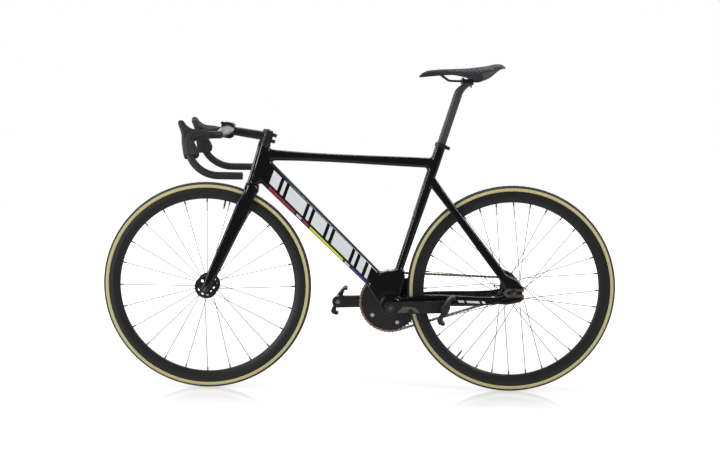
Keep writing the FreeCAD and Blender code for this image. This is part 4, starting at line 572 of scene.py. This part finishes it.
def leather_material():
    """Matt black cover with a fine grain, a slight violet tone and a woven panel on each rear flank."""
    graph = new_material("saddle_leather")
    place = graph.place()
    surface = graph.worn(roughness=0.50, spread=0.14, scale=28.0, grain=2200.0, bump=0.10, edge=0.0)
    cells = graph.add("ShaderNodeTexVoronoi", {"Vector": place, "Scale": 1100.0}, feature="SMOOTH_F1")
    grained = graph.bump(0.16, 0.0003, cells.outputs["Distance"], surface["Normal"])
    colour = graph.mix(surface["Patch"], rgba((0.0085, 0.0080, 0.0105)), rgba((0.014, 0.0132, 0.017)))
    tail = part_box("saddle_cover")[0].x
    flank = graph.span(graph.facing()["Z"], FLANK_LOW, FLANK_HIGH, 0.05)
    behind = graph.span(graph.parts(place)["X"], tail + PANEL_START, tail + PANEL_END, 0.0008)
    checks = graph.add("ShaderNodeTexChecker", {"Vector": place, "Scale": 330.0}).outputs["Fac"]
    weave = graph.math("MULTIPLY_ADD", checks, 0.5, 0.4)
    panel = graph.math("MULTIPLY", graph.math("MULTIPLY", flank, behind), weave)
    colour = graph.mix(panel, colour, rgba((0.045, 0.043, 0.050)))
    finish_material(graph, colour, surface, **{"Normal": grained, "Specular IOR Level": 0.35})


# Mesh helpers

def add_object(name, data):
    """A new object in the scene."""
    piece = bpy.data.objects.new(name, data)
    bpy.context.scene.collection.objects.link(piece)
    return piece


def add_piece(name, mesh, body, slot, nodes, sharp_angle=None):
    """A piece with its shading and finish, and what it stands for and moves with."""
    piece = add_object(name, mesh)
    mesh.materials.clear()
    mesh.materials.append(bpy.data.materials[look(slot)])
    mesh.polygons.foreach_set("use_smooth", [True] * len(mesh.polygons))
    if sharp_angle is not None:
        mesh.set_sharp_from_angle(angle=sharp_angle)
    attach(piece, body)
    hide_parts(*nodes)
    return piece


def finished_mesh(bm, name):
    """The mesh of a bmesh, which is freed."""
    mesh = bpy.data.meshes.new(name)
    bm.to_mesh(mesh)
    bm.free()
    return mesh


def evaluated_mesh(piece, name):
    """The mesh of an object with its modifiers applied; the object itself goes."""
    graph = bpy.context.evaluated_depsgraph_get()
    mesh = bpy.data.meshes.new_from_object(piece.evaluated_get(graph))
    mesh.name = name
    bpy.data.objects.remove(piece)
    return mesh


def joined_copy(nodes):
    """One bmesh of several construction nodes."""
    bm = bmesh.new()
    for node in nodes:
        bm.from_mesh(frame["nodes"][node].data)
    return bm


def voxel_mesh(name, bm, voxel):
    """The outer surface of everything in a bmesh, meshed evenly."""
    piece = add_object(name, finished_mesh(bm, name))
    modifier = piece.modifiers.new("even", "REMESH")
    modifier.mode = "VOXEL"
    modifier.voxel_size = voxel
    return evaluated_mesh(piece, name)


def read_points(mesh):
    points = np.empty(len(mesh.vertices) * 3)
    mesh.vertices.foreach_get("co", points)
    return points.reshape(-1, 3)


def read_edges(mesh):
    """The pairs of points that edges join."""
    edges = np.empty(len(mesh.edges) * 2, dtype=np.int64)
    mesh.edges.foreach_get("vertices", edges)
    return edges.reshape(-1, 2)


def read_normals(mesh):
    """The surface's direction at each point."""
    mesh.update()
    normals = np.empty(len(mesh.vertices) * 3)
    mesh.vertex_normals.foreach_get("vector", normals)
    return normals.reshape(-1, 3)


def write_points(mesh, points):
    mesh.vertices.foreach_set("co", points.ravel())
    mesh.update()


def smooth_share(share):
    """A share from 0 to 1 that starts and ends gently."""
    return share * share * (3 - 2 * share)


def neighbour_mean(points, edges):
    """The mean of each point's neighbours."""
    count = len(points)
    degree = np.bincount(edges.ravel(), minlength=count)
    total = np.empty_like(points)
    for axis in range(points.shape[1]):
        column = points[:, axis]
        total[:, axis] = (np.bincount(edges[:, 0], column[edges[:, 1]], count)
                          + np.bincount(edges[:, 1], column[edges[:, 0]], count))
    return total / np.maximum(degree, 1)[:, None]


def relaxed(points, edges, weight, rounds):
    """Points drawn towards their neighbours, in proportion to a weight."""
    for turn in range(rounds):
        points = points + weight * (neighbour_mean(points, edges) - points)
    return points


# How strongly points are drawn to their neighbours in the steps that make a skin.
GRID_DRAW = 0.5
LAID_DRAW = 0.35
EDGE_DRAW = 0.5
EVEN_DRAW = 0.5
EVEN_RETURN = -0.53
FILLET_DRAW = 0.9
LAST_DRAW = 0.4
# The last draw reaches this much beyond the fillets.
LAST_SPREAD = 0.3
# Points within this many mesh sizes of a node are laid on it; nodes farther off than the reach are left out.
LAID_SIZES = 1.3
NODE_REACH = 0.04
# An edge is sharp where the neighbours' directions agree less than this, and fully so past the span.
SHARP_START = 0.955
SHARP_SPAN = 0.05


def evened(points, edges, rounds):
    """Points without the mesh's short ripples: each draw towards the neighbours is given back at once."""
    for turn in range(rounds):
        points = relaxed(points, edges, EVEN_DRAW, 1)
        points = relaxed(points, edges, EVEN_RETURN, 1)
    return points


def softened_edges(mesh, points, edges, rounds):
    """Round the sharp edges, where the directions of neighbouring points agree least."""
    agreement = np.linalg.norm(neighbour_mean(read_normals(mesh), edges), axis=1)
    sharp = np.clip((SHARP_START - agreement) / SHARP_SPAN, 0, 1)[:, None]
    weight = np.maximum(sharp, neighbour_mean(sharp, edges))
    return relaxed(points, edges, EDGE_DRAW * weight, rounds)


def node_trees(nodes):
    """A search tree for the surface of each construction node."""
    trees = []
    for node in nodes:
        mesh = frame["nodes"][node].data
        mesh.calc_loop_triangles()
        points = [vertex.co for vertex in mesh.vertices]
        trees.append(BVHTree.FromPolygons(points, [tuple(face.vertices) for face in mesh.loop_triangles]))
    return trees


def nearest_two(points, trees, far):
    """For each point the nearest place on any node, its distance, and the distance to the second nearest."""
    place = points.copy()
    first = np.full(len(points), far)
    second = np.full(len(points), far)
    for tree in trees:
        for index, point in enumerate(points):
            spot, _, _, distance = tree.find_nearest(point, far)
            if spot is None:
                continue
            if distance < first[index]:
                second[index] = first[index]
                first[index] = distance
                place[index] = spot
            elif distance < second[index]:
                second[index] = distance
    return place, first, second


def filleted(mesh, points, edges, weight, rounds):
    """Points relaxed outwards only, so that junctions fill up and nothing sinks."""
    normals = read_normals(mesh)
    for turn in range(3):
        normals = neighbour_mean(normals, edges)
        normals /= np.linalg.norm(normals, axis=1)[:, None]
    base = points.copy()
    for turn in range(rounds):
        points = relaxed(points, edges, FILLET_DRAW * weight, 1)
        sunk = np.einsum("ij,ij->i", points - base, normals) < 0
        points[sunk] = base[sunk]
    return points


def smoothed_skin(mesh, nodes, reach):
    """Lay an even mesh on the nodes it was made from, and round their junctions outwards."""
    settings = bpy.context.scene.bicycle.skin
    edges = read_edges(mesh)
    points = relaxed(read_points(mesh), edges, GRID_DRAW, 2)
    place, first, second = nearest_two(points, node_trees(nodes), NODE_REACH)
    laid = first < LAID_SIZES * settings.voxel
    points[laid] = place[laid]
    points = relaxed(points, edges, LAID_DRAW, 1)
    write_points(mesh, points)
    points = softened_edges(mesh, points, edges, settings.edge_rounds)
    points = evened(points, edges, settings.even_rounds)
    write_points(mesh, points)
    weight = smooth_share(np.clip(1 - second / reach, 0, 1))[:, None]
    points = filleted(mesh, points, edges, weight, settings.fillet_rounds)
    points = relaxed(points, edges, LAST_DRAW * np.minimum(weight + LAST_SPREAD, 1), 2)
    write_points(mesh, points)


def subtract(mesh, cutter_mesh, name):
    """A mesh less another one."""
    piece = add_object(name, mesh)
    cutter = add_object("cutter", cutter_mesh)
    modifier = piece.modifiers.new("bores", "BOOLEAN")
    modifier.operation = "DIFFERENCE"
    modifier.solver = "EXACT"
    modifier.object = cutter
    bpy.context.view_layer.update()
    result = evaluated_mesh(piece, name)
    bpy.data.objects.remove(cutter)
    return result


def turned_to(direction):
    """A rotation that takes Z to a direction: one in the middle plane, keeping Y, or one across it."""
    z = Vector(direction).normalized()
    if abs(z.y) > 0.9:
        return Matrix.Rotation(math.radians(-90), 4, "X")
    x = LEFT.cross(z).normalized()
    return Matrix((x, z.cross(x), z)).transposed().to_4x4()


def add_rod(bm, start, end, radius):
    """A round rod between two points."""
    way = end - start
    place = Matrix.Translation((start + end) / 2) @ turned_to(way)
    bmesh.ops.create_cone(bm, cap_ends=True, segments=96, radius1=radius, radius2=radius, depth=way.length,
                          matrix=place)


def add_post(bm, start, end, depth, width, corner):
    """A bar with rounded long edges."""
    way = end - start
    place = Matrix.Translation((start + end) / 2) @ turned_to(way)
    made = bmesh.ops.create_cube(bm, size=1, matrix=place @ Matrix.Diagonal((depth, width, way.length, 1)))
    edges = dict.fromkeys(edge for vertex in made["verts"] for edge in vertex.link_edges)
    along = way.normalized()
    long_edges = [edge for edge in edges
                  if abs((edge.verts[0].co - edge.verts[1].co).normalized().dot(along)) > 0.99]
    bmesh.ops.bevel(bm, geom=long_edges, offset=corner, segments=10, affect="EDGES", profile=0.5,
                    material=-1)


def add_ring(bm, points):
    """A closed ring of edges through points."""
    corners = bmesh.ops.create_circle(bm, segments=len(points), radius=1)["verts"]
    for corner, point in zip(corners, points):
        corner.co = point
    return list(dict.fromkeys(edge for corner in corners for edge in corner.link_edges))


def lofted_mesh(name, sections):
    """A closed mesh through sections that follow each other."""
    bm = bmesh.new()
    rings = [add_ring(bm, points) for points in sections]
    for first, second in zip(rings, rings[1:]):
        bmesh.ops.bridge_loops(bm, edges=first + second)
    for ring in (rings[0], rings[-1]):
        bmesh.ops.contextual_create(bm, geom=ring)
    bmesh.ops.triangulate(bm, faces=[face for face in bm.faces if len(face.verts) > 4])
    bmesh.ops.recalc_face_normals(bm, faces=bm.faces)
    return finished_mesh(bm, name)


def smooth_rows(rows, shares):
    """Rows between given rows, along a curve through them."""
    places = rows[:, 0]
    index = np.clip(np.searchsorted(places, shares) - 1, 0, len(places) - 2)
    width = places[index + 1] - places[index]
    step = (shares - places[index]) / width
    result = []
    for column in rows[:, 1:].T:
        slope = np.gradient(column, places)
        start = (1 + 2 * step) * (1 - step) ** 2 * column[index]
        start = start + step * (1 - step) ** 2 * width * slope[index]
        end = step ** 2 * (3 - 2 * step) * column[index + 1]
        end = end + step ** 2 * (step - 1) * width * slope[index + 1]
        result.append(start + end)
    return np.array(result).T


# The pieces

class BICYCLE_OT_finishes(bpy.types.Operator):
    """Make every finish and give it to the construction nodes"""
    bl_idname = "bicycle.finishes"
    bl_label = "Finishes"

    def make(self):
        """Build the shared groups and every material."""
        for build in (worn_surface_group, wheel_place_group, painted_block_group):
            build()
        for name, finish in PLAIN_FINISHES.items():
            plain_material(name, **finish)
        for build in (frame_paint, chain_material, ring_material, crank_material, ring_bolt_glint_material,
                      leather_material):
            build()
        grip_material("bar_tape", (0.0065, 0.0065, 0.0070), (0.010, 0.010, 0.0105), 520.0)
        grip_material("hood_rubber", (0.0075, 0.0090, 0.0088), (0.012, 0.0140, 0.0138), 700.0)
        for end, centre in (("front", FRONT_AXLE), ("rear", REAR_AXLE)):
            tyre_material(f"{end}_tyre_casing", centre)
            rim_material(f"{end}_rim_finish", centre)

    def finish_of(self, part):
        """The finish of a construction node: each wheel has its own, and so have the ring's bolts."""
        slot = part["material_slot"]
        if part["node"] == "crank_fasteners":
            return "ring_bolts"
        if slot in ("tyre_casing", "rim_finish"):
            end = part["node"].split("_")[0]
            return f"{end}_{slot}"
        return slot

    def execute(self, context):
        self.make()
        for part in frame["record"]["subparts"]:
            materials = frame["nodes"][part["node"]].data.materials
            materials.clear()
            materials.append(bpy.data.materials[look(self.finish_of(part))])
        return {"FINISHED"}


FRAME_NODES = ("head_tube", "top_tube", "down_tube", "seat_tube", "bottom_bracket_shell", "chainstays",
               "seatstays", "dropouts")
# The gap under the head tube, half the bracket shell, and the rounding of the seatpost's corners.
HEAD_GAP = 0.0005
SHELL_HALF = 0.034
POST_CORNER = 0.0100
# How far the plugs in the bores overlap their walls, and how far the cutters stand out of the bores.
PLUG_OVERLAP = 0.0006
CUTTER_OVER = 0.004


class BICYCLE_OT_frame_skin(bpy.types.Operator):
    """Join the frame tubes into one painted skin with filleted junctions"""
    bl_idname = "bicycle.frame_skin"
    bl_label = "Frame skin"

    def add_bores(self, bm, settings, grow, over):
        """The insides of the head tube, the bracket shell and the seat tube."""
        head_foot = STEER_SEAT + STEER_UP * (HEAD_GAP - over)
        head_top = STEER_SEAT + STEER_UP * (HEAD_GAP + settings.head_length + over)
        add_rod(bm, head_foot, head_top, settings.head_bore + grow)
        half = LEFT * (SHELL_HALF + over)
        add_rod(bm, CRANK_AXIS - half, CRANK_AXIS + half, settings.bracket_bore + grow)
        add_post(bm, SEAT_TOP - SEAT_UP * settings.post_bore, SEAT_TOP + SEAT_UP * over,
                 settings.post_depth + 2 * grow, settings.post_width + 2 * grow, POST_CORNER)

    def execute(self, context):
        settings = context.scene.bicycle.skin
        filled = joined_copy(FRAME_NODES)
        self.add_bores(filled, settings, PLUG_OVERLAP, 0.0)
        mesh = voxel_mesh("frame_skin", filled, settings.voxel)
        smoothed_skin(mesh, FRAME_NODES, settings.fillet_reach)
        cutter = bmesh.new()
        self.add_bores(cutter, settings, 0.0, CUTTER_OVER)
        mesh = subtract(mesh, finished_mesh(cutter, "bores"), "frame_skin")
        add_piece("frame_skin", mesh, "frame", "frame_paint", FRAME_NODES, math.radians(40))
        return {"FINISHED"}


FORK_NODES = ("fork_crown", "fork_blades")
# The fork's fillets start this many times as far out as the frame's.
FORK_FILLET_SHARE = 1.3
# The shoulders lie between these heights on the steering axis, and run out over these lengths.
SHOULDER_TOP = -2 * MM
SHOULDER_TOP_RUN = 14 * MM
SHOULDER_FOOT = -62 * MM
SHOULDER_FOOT_RUN = 26 * MM
# They start this far from the middle plane.
SHOULDER_SIDE = 21 * MM
SHOULDER_SIDE_RUN = 5 * MM
SHOULDER_DRAW = 0.9


class BICYCLE_OT_fork_skin(bpy.types.Operator):
    """Join the fork's crown, steerer and blades into one painted skin"""
    bl_idname = "bicycle.fork_skin"
    bl_label = "Fork skin"

    def shoulder_weight(self, points):
        """1 on the fork's shoulders, 0 away from them."""
        up = (points - np.array(STEER_SEAT)) @ np.array(STEER_UP)
        from_top = (SHOULDER_TOP - up) / SHOULDER_TOP_RUN
        from_foot = (up - SHOULDER_FOOT) / SHOULDER_FOOT_RUN
        near = np.clip(np.minimum(from_top, from_foot), 0, 1)
        outer = np.clip((np.abs(points[:, 1]) - SHOULDER_SIDE) / SHOULDER_SIDE_RUN, 0, 1)
        return (near * outer)[:, None]

    def execute(self, context):
        settings = context.scene.bicycle.skin
        mesh = voxel_mesh("fork_skin", joined_copy(FORK_NODES), settings.voxel)
        smoothed_skin(mesh, FORK_NODES, settings.fillet_reach * FORK_FILLET_SHARE)
        points = read_points(mesh)
        weight = SHOULDER_DRAW * self.shoulder_weight(points)
        write_points(mesh, relaxed(points, read_edges(mesh), weight, settings.shoulder_rounds))
        add_piece("fork_skin", mesh, "steering", "frame_paint", FORK_NODES)
        return {"FINISHED"}


HOOD_VOXEL = 0.0014
# How strongly a hood's points are drawn together, and how often before and after the rubber is put on.
HOOD_DRAW = 0.5
SOLID_ROUNDS = 4
RUBBER_ROUNDS = 26
# Points whose direction is less sideways than this lie on a hood's outline.
HOOD_RIM_SIDE = 0.35
# The share of its thickness that a hood keeps at its outline, and how much more it keeps inside.
HOOD_RIM_SHARE = 0.42
HOOD_SWELL = 0.62
# The rubber over the solid, and over the bar where the tail runs out.
HOOD_RUBBER = 0.0012
TAIL_RUBBER = 0.0008


class BICYCLE_OT_hoods(bpy.types.Operator):
    """Round the hoods into moulded rubber"""
    bl_idname = "bicycle.hoods"
    bl_label = "Hoods"

    def pillow(self, points, normals, roll):
        """Draw the flat cheeks of one hood in towards its outline, so that its section is round."""
        middle = (points[:, 1].max() + points[:, 1].min()) / 2
        rim = points[np.abs(normals[:, 1]) < HOOD_RIM_SIDE]
        tree = KDTree(len(rim))
        for index, (x, z) in enumerate(rim[:, ::2]):
            tree.insert((x, 0, z), index)
        tree.balance()
        depth = np.array([tree.find((x, 0, z))[2] for x, z in points[:, ::2]])
        share = np.clip(depth / roll, 0, 1)
        swell = HOOD_RIM_SHARE + HOOD_SWELL * np.sqrt(1 - (1 - share) ** 2)
        points[:, 1] = middle + (points[:, 1] - middle) * swell
        return points

    def tapered(self, points, settings):
        """Draw the tails of both hoods in round the bar, so that they run out on it."""
        tail = points[:, 0].min()
        share = smooth_share(np.clip(1 - (points[:, 0] - tail) / settings.tail_length, 0, 1))
        bar_height = np.full(len(points), BAR_MIDDLE.z - settings.bar_droop)
        middle = np.stack([np.sign(points[:, 1]) * settings.hood_place, bar_height], axis=1)
        offset = points[:, 1:] - middle
        radius = np.linalg.norm(offset, axis=1)
        snug = settings.grip_radius + TAIL_RUBBER
        wanted = radius + share * (radius > snug) * (snug - radius)
        points[:, 1:] = middle + offset * (wanted / radius)[:, None]
        return points

    def execute(self, context):
        settings = context.scene.bicycle.bar
        mesh = voxel_mesh("hood_rubber", joined_copy(("hoods",)), HOOD_VOXEL)
        edges = read_edges(mesh)
        points = read_points(mesh)
        normals = read_normals(mesh)
        for side in (points[:, 1] > 0, points[:, 1] < 0):
            points[side] = self.pillow(points[side], normals[side], settings.hood_roll)
        points = relaxed(points, edges, HOOD_DRAW, SOLID_ROUNDS)
        write_points(mesh, points)
        points = points + read_normals(mesh) * HOOD_RUBBER
        points = relaxed(points, edges, HOOD_DRAW, RUBBER_ROUNDS)
        write_points(mesh, self.tapered(points, settings))
        add_piece("hood_covers", mesh, "steering", "hood_rubber", ("hoods",))
        return {"FINISHED"}


# Half the width over which the bar is round in its clamp, millimetres.
CLAMP_HALF = 23
SECTION_POINTS = 48


class BICYCLE_OT_bar_top(bpy.types.Operator):
    """Make the flat bar top: round in the clamp, a swept blade, then a taper into the grips"""
    bl_idname = "bicycle.bar_top"
    bl_label = "Bar top"

    def section(self, chord, thickness, roundness):
        """A closed section, from a circle (roundness 2) to a blade with fuller sides."""
        angles = np.linspace(0, 2 * math.pi, SECTION_POINTS, endpoint=False)
        power = 2 / roundness
        x = np.sign(np.cos(angles)) * np.abs(np.cos(angles)) ** power * chord / 2
        z = np.sign(np.sin(angles)) * np.abs(np.sin(angles)) ** power * thickness / 2
        return x, z

    def rows(self, settings, end):
        """Rows of distance from the middle, shift ahead, shift up, chord, thickness and roundness."""
        clamp = 2 * settings.clamp_radius
        return np.array([
            (0, 0, 0, clamp, clamp, 2),
            (CLAMP_HALF * MM, 0, 0, clamp, clamp, 2),
            (33 * MM, -1 * MM, 1 * MM, settings.chord - 2 * MM, 26 * MM, 2.2),
            (52 * MM, 1 * MM, -1 * MM, settings.chord, 19 * MM, 2.4),
            (0.80 * end, 6.5 * MM, -6.5 * MM, settings.chord - 4 * MM, 16.5 * MM, 2.3),
            (end, 9 * MM, -9 * MM, 34 * MM, 18.5 * MM, 2.2),
            (end + 13 * MM, 10 * MM, -9 * MM, 25.6 * MM, 23.4 * MM, 2),
            (end + 20 * MM, 10 * MM, -9 * MM, 23.4 * MM, 23.3 * MM, 2)])

    def execute(self, context):
        rows = self.rows(context.scene.bicycle.bar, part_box("handlebar_top")[1].y)
        in_clamp = np.linspace(0, CLAMP_HALF, 3) * MM
        outside = np.linspace((CLAMP_HALF + 1) * MM, rows[-1, 0], 56)
        half = np.concatenate([in_clamp, outside])
        places = np.concatenate([-half[:0:-1], half])
        sections = []
        for place, (ahead, up, chord, thick, roundness) in zip(places, smooth_rows(rows, np.abs(places))):
            x, z = self.section(chord, thick, roundness)
            sections.append([(BAR_MIDDLE.x + ahead + a, place, BAR_MIDDLE.z + up + b) for a, b in zip(x, z)])
        mesh = lofted_mesh("bar_top", sections)
        add_piece("bar_top", mesh, "steering", "bar_finish", ("handlebar_top",), math.radians(50))
        return {"FINISHED"}


# Each row: share of length from the tail, share of width, crown and rim above the rails in millimetres.
SADDLE_ROWS = np.array([
    (0.0, 0.44, 44.0, 40.5), (0.03, 0.66, 51.5, 40.0), (0.08, 0.86, 54.5, 36.0), (0.2, 1.0, 49.0, 11.0),
    (0.3, 0.985, 45.0, 1.0), (0.44, 0.82, 40.5, 11.0), (0.6, 0.5, 38.0, 18.5), (0.8, 0.33, 35.0, 15.5),
    (0.93, 0.27, 29.0, 12.0), (0.98, 0.21, 21.0, 10.5), (1.0, 0.13, 15.5, 10.2)])
RAIL_RADIUS = 0.0035
# The powers that shape the arch of a section: a flat crown and steep sides.
CROWN_POWER = 2.7
SIDE_POWER = 0.62
# The pad takes at most this share of a section's height.
PAD_SHARE = 0.55
# The inside of the rolled edge stands this share of its width above the rim.
ROLL_LIFT = 0.3


class BICYCLE_OT_saddle(bpy.types.Operator):
    """Make the padded saddle cover: a flat crown, drawn-in sides and a rolled edge"""
    bl_idname = "bicycle.saddle"
    bl_label = "Saddle cover"

    def section(self, settings, wide, crown, rim):
        """The outer arch from side to side, and the inner one back."""
        half = wide * settings.width / 2
        fall = (crown - rim) * MM
        thin = min(1.0, PAD_SHARE * fall / settings.padding)
        drop = settings.padding * thin
        inset = settings.rim_roll * thin
        across = np.sin(np.linspace(-1, 1, 41) * math.pi / 2)
        arch = [(side, (1 - abs(side) ** CROWN_POWER) ** SIDE_POWER) for side in across]
        outer = [(side * half, rim * MM + fall * rise) for side, rise in arch]
        inner = [(side * (half - inset), rim * MM + inset * ROLL_LIFT + (fall - drop) * rise)
                 for side, rise in reversed(arch)]
        return outer + inner

    def execute(self, context):
        settings = context.scene.bicycle.saddle
        tail_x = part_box("saddle_cover")[0].x
        rail_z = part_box("saddle_rails")[0].z + RAIL_RADIUS
        tail = np.linspace(0, 0.1, 13)
        body = np.linspace(0.12, 0.92, 51)
        nose = np.linspace(0.935, 1, 13)
        shares = np.concatenate([tail, body, nose])
        sections = []
        for share, (wide, crown, rim) in zip(shares, smooth_rows(SADDLE_ROWS, shares)):
            x = tail_x + share * settings.length
            sections.append([(x, y, rail_z + z) for y, z in self.section(settings, wide, crown, rim)])
        mesh = lofted_mesh("saddle_upholstery", sections)
        piece = add_piece("saddle_upholstery", mesh, "saddle", "saddle_leather", ("saddle_cover",),
                          math.radians(50))
        return {"FINISHED"}


# Edges of the floor and height of the wall at its far edge.
FLOOR_SIDE = 14.0
FLOOR_NEAR = 7.0
FLOOR_FAR = -5.0
WALL_HEIGHT = 9.0
WHITE = (1, 1, 1, 1)
# Each lamp: name, place, target, width and height, watts, whether it shows in glossy surfaces.
LAMPS = [
    ("top_light", (0.2, 0.6, 3.2), (0, 0, 0.4), (3.0, 1.6), 74, False),
    ("front_light", (3.2, 1.6, 1.7), (0.1, 0, 0.6), (1.2, 2.0), 26, False),
    ("back_light", (-2.4, 1.6, 2.2), (-0.2, 0, 0.6), (0.45, 1.7), 36, True),
    ("front_strip", (2.3, 2.1, 1.3), (0.3, 0, 0.6), (0.22, 2.6), 36, True),
    ("edge_strip", (3.0, -0.4, 1.4), (0.2, 0, 0.6), (0.22, 2.6), 30, True),
    ("top_strip", (0.0, -1.2, 3.2), (0, 0, 0.6), (3.0, 0.20), 24, True),
]


class BICYCLE_OT_stage(bpy.types.Operator):
    """Set up the floor, the light and the camera"""
    bl_idname = "bicycle.stage"
    bl_label = "Stage"

    def add_plate(self, name, corners, finish):
        """A flat plate of the stage."""
        mesh = bpy.data.meshes.new(name)
        mesh.from_pydata(corners, [], [(0, 1, 2, 3)])
        mesh.materials.append(bpy.data.materials[look(finish)])
        add_object(name, mesh)

    def floor_material(self):
        """White floor that mirrors the wheels faintly, and is dark far off in mirrored rays."""
        graph = new_material("floor_white")
        place = graph.place()
        cloud = graph.add("ShaderNodeTexNoise", {"Vector": place, "Scale": 1.5}).outputs[0]
        colour = graph.mix(cloud, rgba((0.34, 0.34, 0.34)), rgba((0.36, 0.36, 0.36)))
        aside = graph.math("ABSOLUTE", graph.parts(place)["Y"])
        distant = graph.ramp(graph.vector("LENGTH", place), 1.6, 0.8)
        base = graph.add("ShaderNodeBsdfPrincipled", {
            "Base Color": colour, "Roughness": 0.6, "Specular IOR Level": 0.0, "Emission Color": WHITE,
            "Emission Strength": graph.math("MULTIPLY_ADD", distant, 0.45, 0.64)})
        mirror = graph.add("ShaderNodeBsdfGlossy", {"Roughness": 0.08})
        shine = graph.math("MULTIPLY", graph.inverse(graph.ramp(aside, 0.22, 0.20)), 0.30)
        polished = graph.mix_shader(shine, base.outputs[0], mirror.outputs[0])
        near = graph.inverse(graph.ramp(aside, 1.3, 0.5))
        glow = graph.add("ShaderNodeEmission", {
            "Color": WHITE, "Strength": graph.math("MULTIPLY_ADD", near, 0.40, 0.03)})
        rays = graph.add("ShaderNodeLightPath").outputs
        surface = graph.mix_shader(rays["Is Glossy Ray"], polished, glow.outputs[0])
        graph.add("ShaderNodeOutputMaterial", {"Surface": surface})

    def wall_material(self):
        """White from the front and clear from behind, so that the bicycle can be seen from all sides."""
        graph = new_material("wall_white")
        white = graph.add("ShaderNodeEmission", {"Color": WHITE, "Strength": 1.0})
        clear = graph.add("ShaderNodeBsdfTransparent")
        behind = graph.add("ShaderNodeNewGeometry").outputs["Backfacing"]
        surface = graph.mix_shader(behind, white.outputs[0], clear.outputs[0])
        graph.add("ShaderNodeOutputMaterial", {"Surface": surface})

    def add_lamp(self, name, place, target, size, power, mirrored):
        """An area light, which shows in glossy surfaces only if it is said to be mirrored."""
        data = bpy.data.lights.new(name, "AREA")
        data.shape = "RECTANGLE"
        data.size, data.size_y = size
        data.energy = power
        lamp = add_object(name, data)
        lamp.location = place
        lamp.rotation_euler = (Vector(target) - Vector(place)).to_track_quat("-Z", "Y").to_euler()
        lamp.visible_camera = False
        lamp.visible_glossy = mirrored

    def add_world(self, scene):
        """White where it is seen, dim where it lights and dark where it is mirrored."""
        world = bpy.data.worlds.new("studio")
        world.use_nodes = True
        world.node_tree.nodes.clear()
        graph = Graph(world.node_tree)
        rays = graph.add("ShaderNodeLightPath").outputs
        seen = graph.math("MAXIMUM", rays["Is Camera Ray"], rays["Is Transmission Ray"])
        dim = graph.mix(rays["Is Glossy Ray"], (0.42, 0.42, 0.43, 1), (0.03, 0.03, 0.032, 1))
        light = graph.add("ShaderNodeBackground", {"Color": graph.mix(seen, dim, WHITE), "Strength": 1.0})
        graph.add("ShaderNodeOutputWorld", {"Surface": light.outputs[0]})
        scene.world = world

    def add_camera(self, scene, settings):
        """The camera at the photo's angle."""
        data = bpy.data.cameras.new("photo_camera")
        data.sensor_width = 36.0
        data.lens = settings.lens
        data.clip_end = 100.0
        camera = add_object("photo_camera", data)
        ahead = Vector((math.sin(settings.yaw) * math.cos(settings.pitch),
                        -math.cos(settings.yaw) * math.cos(settings.pitch), math.sin(settings.pitch)))
        level = ahead.cross(UP).normalized()
        upright = level.cross(ahead)
        right = level * math.cos(settings.roll) + upright * math.sin(settings.roll)
        above = upright * math.cos(settings.roll) - level * math.sin(settings.roll)
        place = Matrix((right, above, -ahead)).transposed().to_4x4()
        place.translation = Vector(settings.eye)
        camera.matrix_world = place
        scene.camera = camera

    def execute(self, context):
        scene = context.scene
        far_left = (-FLOOR_SIDE, FLOOR_FAR, 0)
        far_right = (FLOOR_SIDE, FLOOR_FAR, 0)
        floor = [far_left, far_right, (FLOOR_SIDE, FLOOR_NEAR, 0), (-FLOOR_SIDE, FLOOR_NEAR, 0)]
        top_left = (-FLOOR_SIDE, FLOOR_FAR, WALL_HEIGHT)
        top_right = (FLOOR_SIDE, FLOOR_FAR, WALL_HEIGHT)
        wall = [far_right, far_left, top_left, top_right]
        self.floor_material()
        self.wall_material()
        self.add_plate("floor", floor, "floor_white")
        self.add_plate("wall", wall, "wall_white")
        for row in LAMPS:
            self.add_lamp(*row)
        self.add_world(scene)
        self.add_camera(scene, scene.bicycle.stage)
        scene.view_settings.view_transform = "Standard"
        return {"FINISHED"}


class BICYCLE_PT_panel(bpy.types.Panel):
    """The bicycle's settings and steps."""
    bl_idname = "BICYCLE_PT_panel"
    bl_label = "Track bicycle"
    bl_space_type = "VIEW_3D"
    bl_region_type = "UI"
    bl_category = "Bicycle"

    def draw(self, context):
        bicycle = context.scene.bicycle
        for group in (bicycle.skin, bicycle.graphics, bicycle.bar, bicycle.saddle, bicycle.stage):
            box = self.layout.box()
            for name in group.__annotations__:
                box.prop(group, name)
        for step in STEPS:
            self.layout.operator(step.bl_idname)


STEPS = (BICYCLE_OT_finishes, BICYCLE_OT_frame_skin, BICYCLE_OT_fork_skin, BICYCLE_OT_hoods,
         BICYCLE_OT_bar_top, BICYCLE_OT_saddle, BICYCLE_OT_stage)
CLASSES = (FrameSkinSettings, GraphicSettings, BarSettings, SaddleSettings, StageSettings, BicycleSettings,
           *STEPS, BICYCLE_PT_panel)


def register():
    """Make the settings, steps and panel known."""
    for item in CLASSES:
        bpy.utils.register_class(item)
    bpy.types.Scene.bicycle = bpy.props.PointerProperty(type=BicycleSettings)


def unregister():
    """Take them away again."""
    del bpy.types.Scene.bicycle
    for item in reversed(CLASSES):
        bpy.utils.unregister_class(item)


def main():
    """Dress the bicycle step by step."""
    register()
    bpy.ops.bicycle.finishes()
    bpy.ops.bicycle.frame_skin()
    bpy.ops.bicycle.fork_skin()
    bpy.ops.bicycle.hoods()
    bpy.ops.bicycle.bar_top()
    bpy.ops.bicycle.saddle()
    bpy.ops.bicycle.stage()


if __name__ == "__main__":
    main()
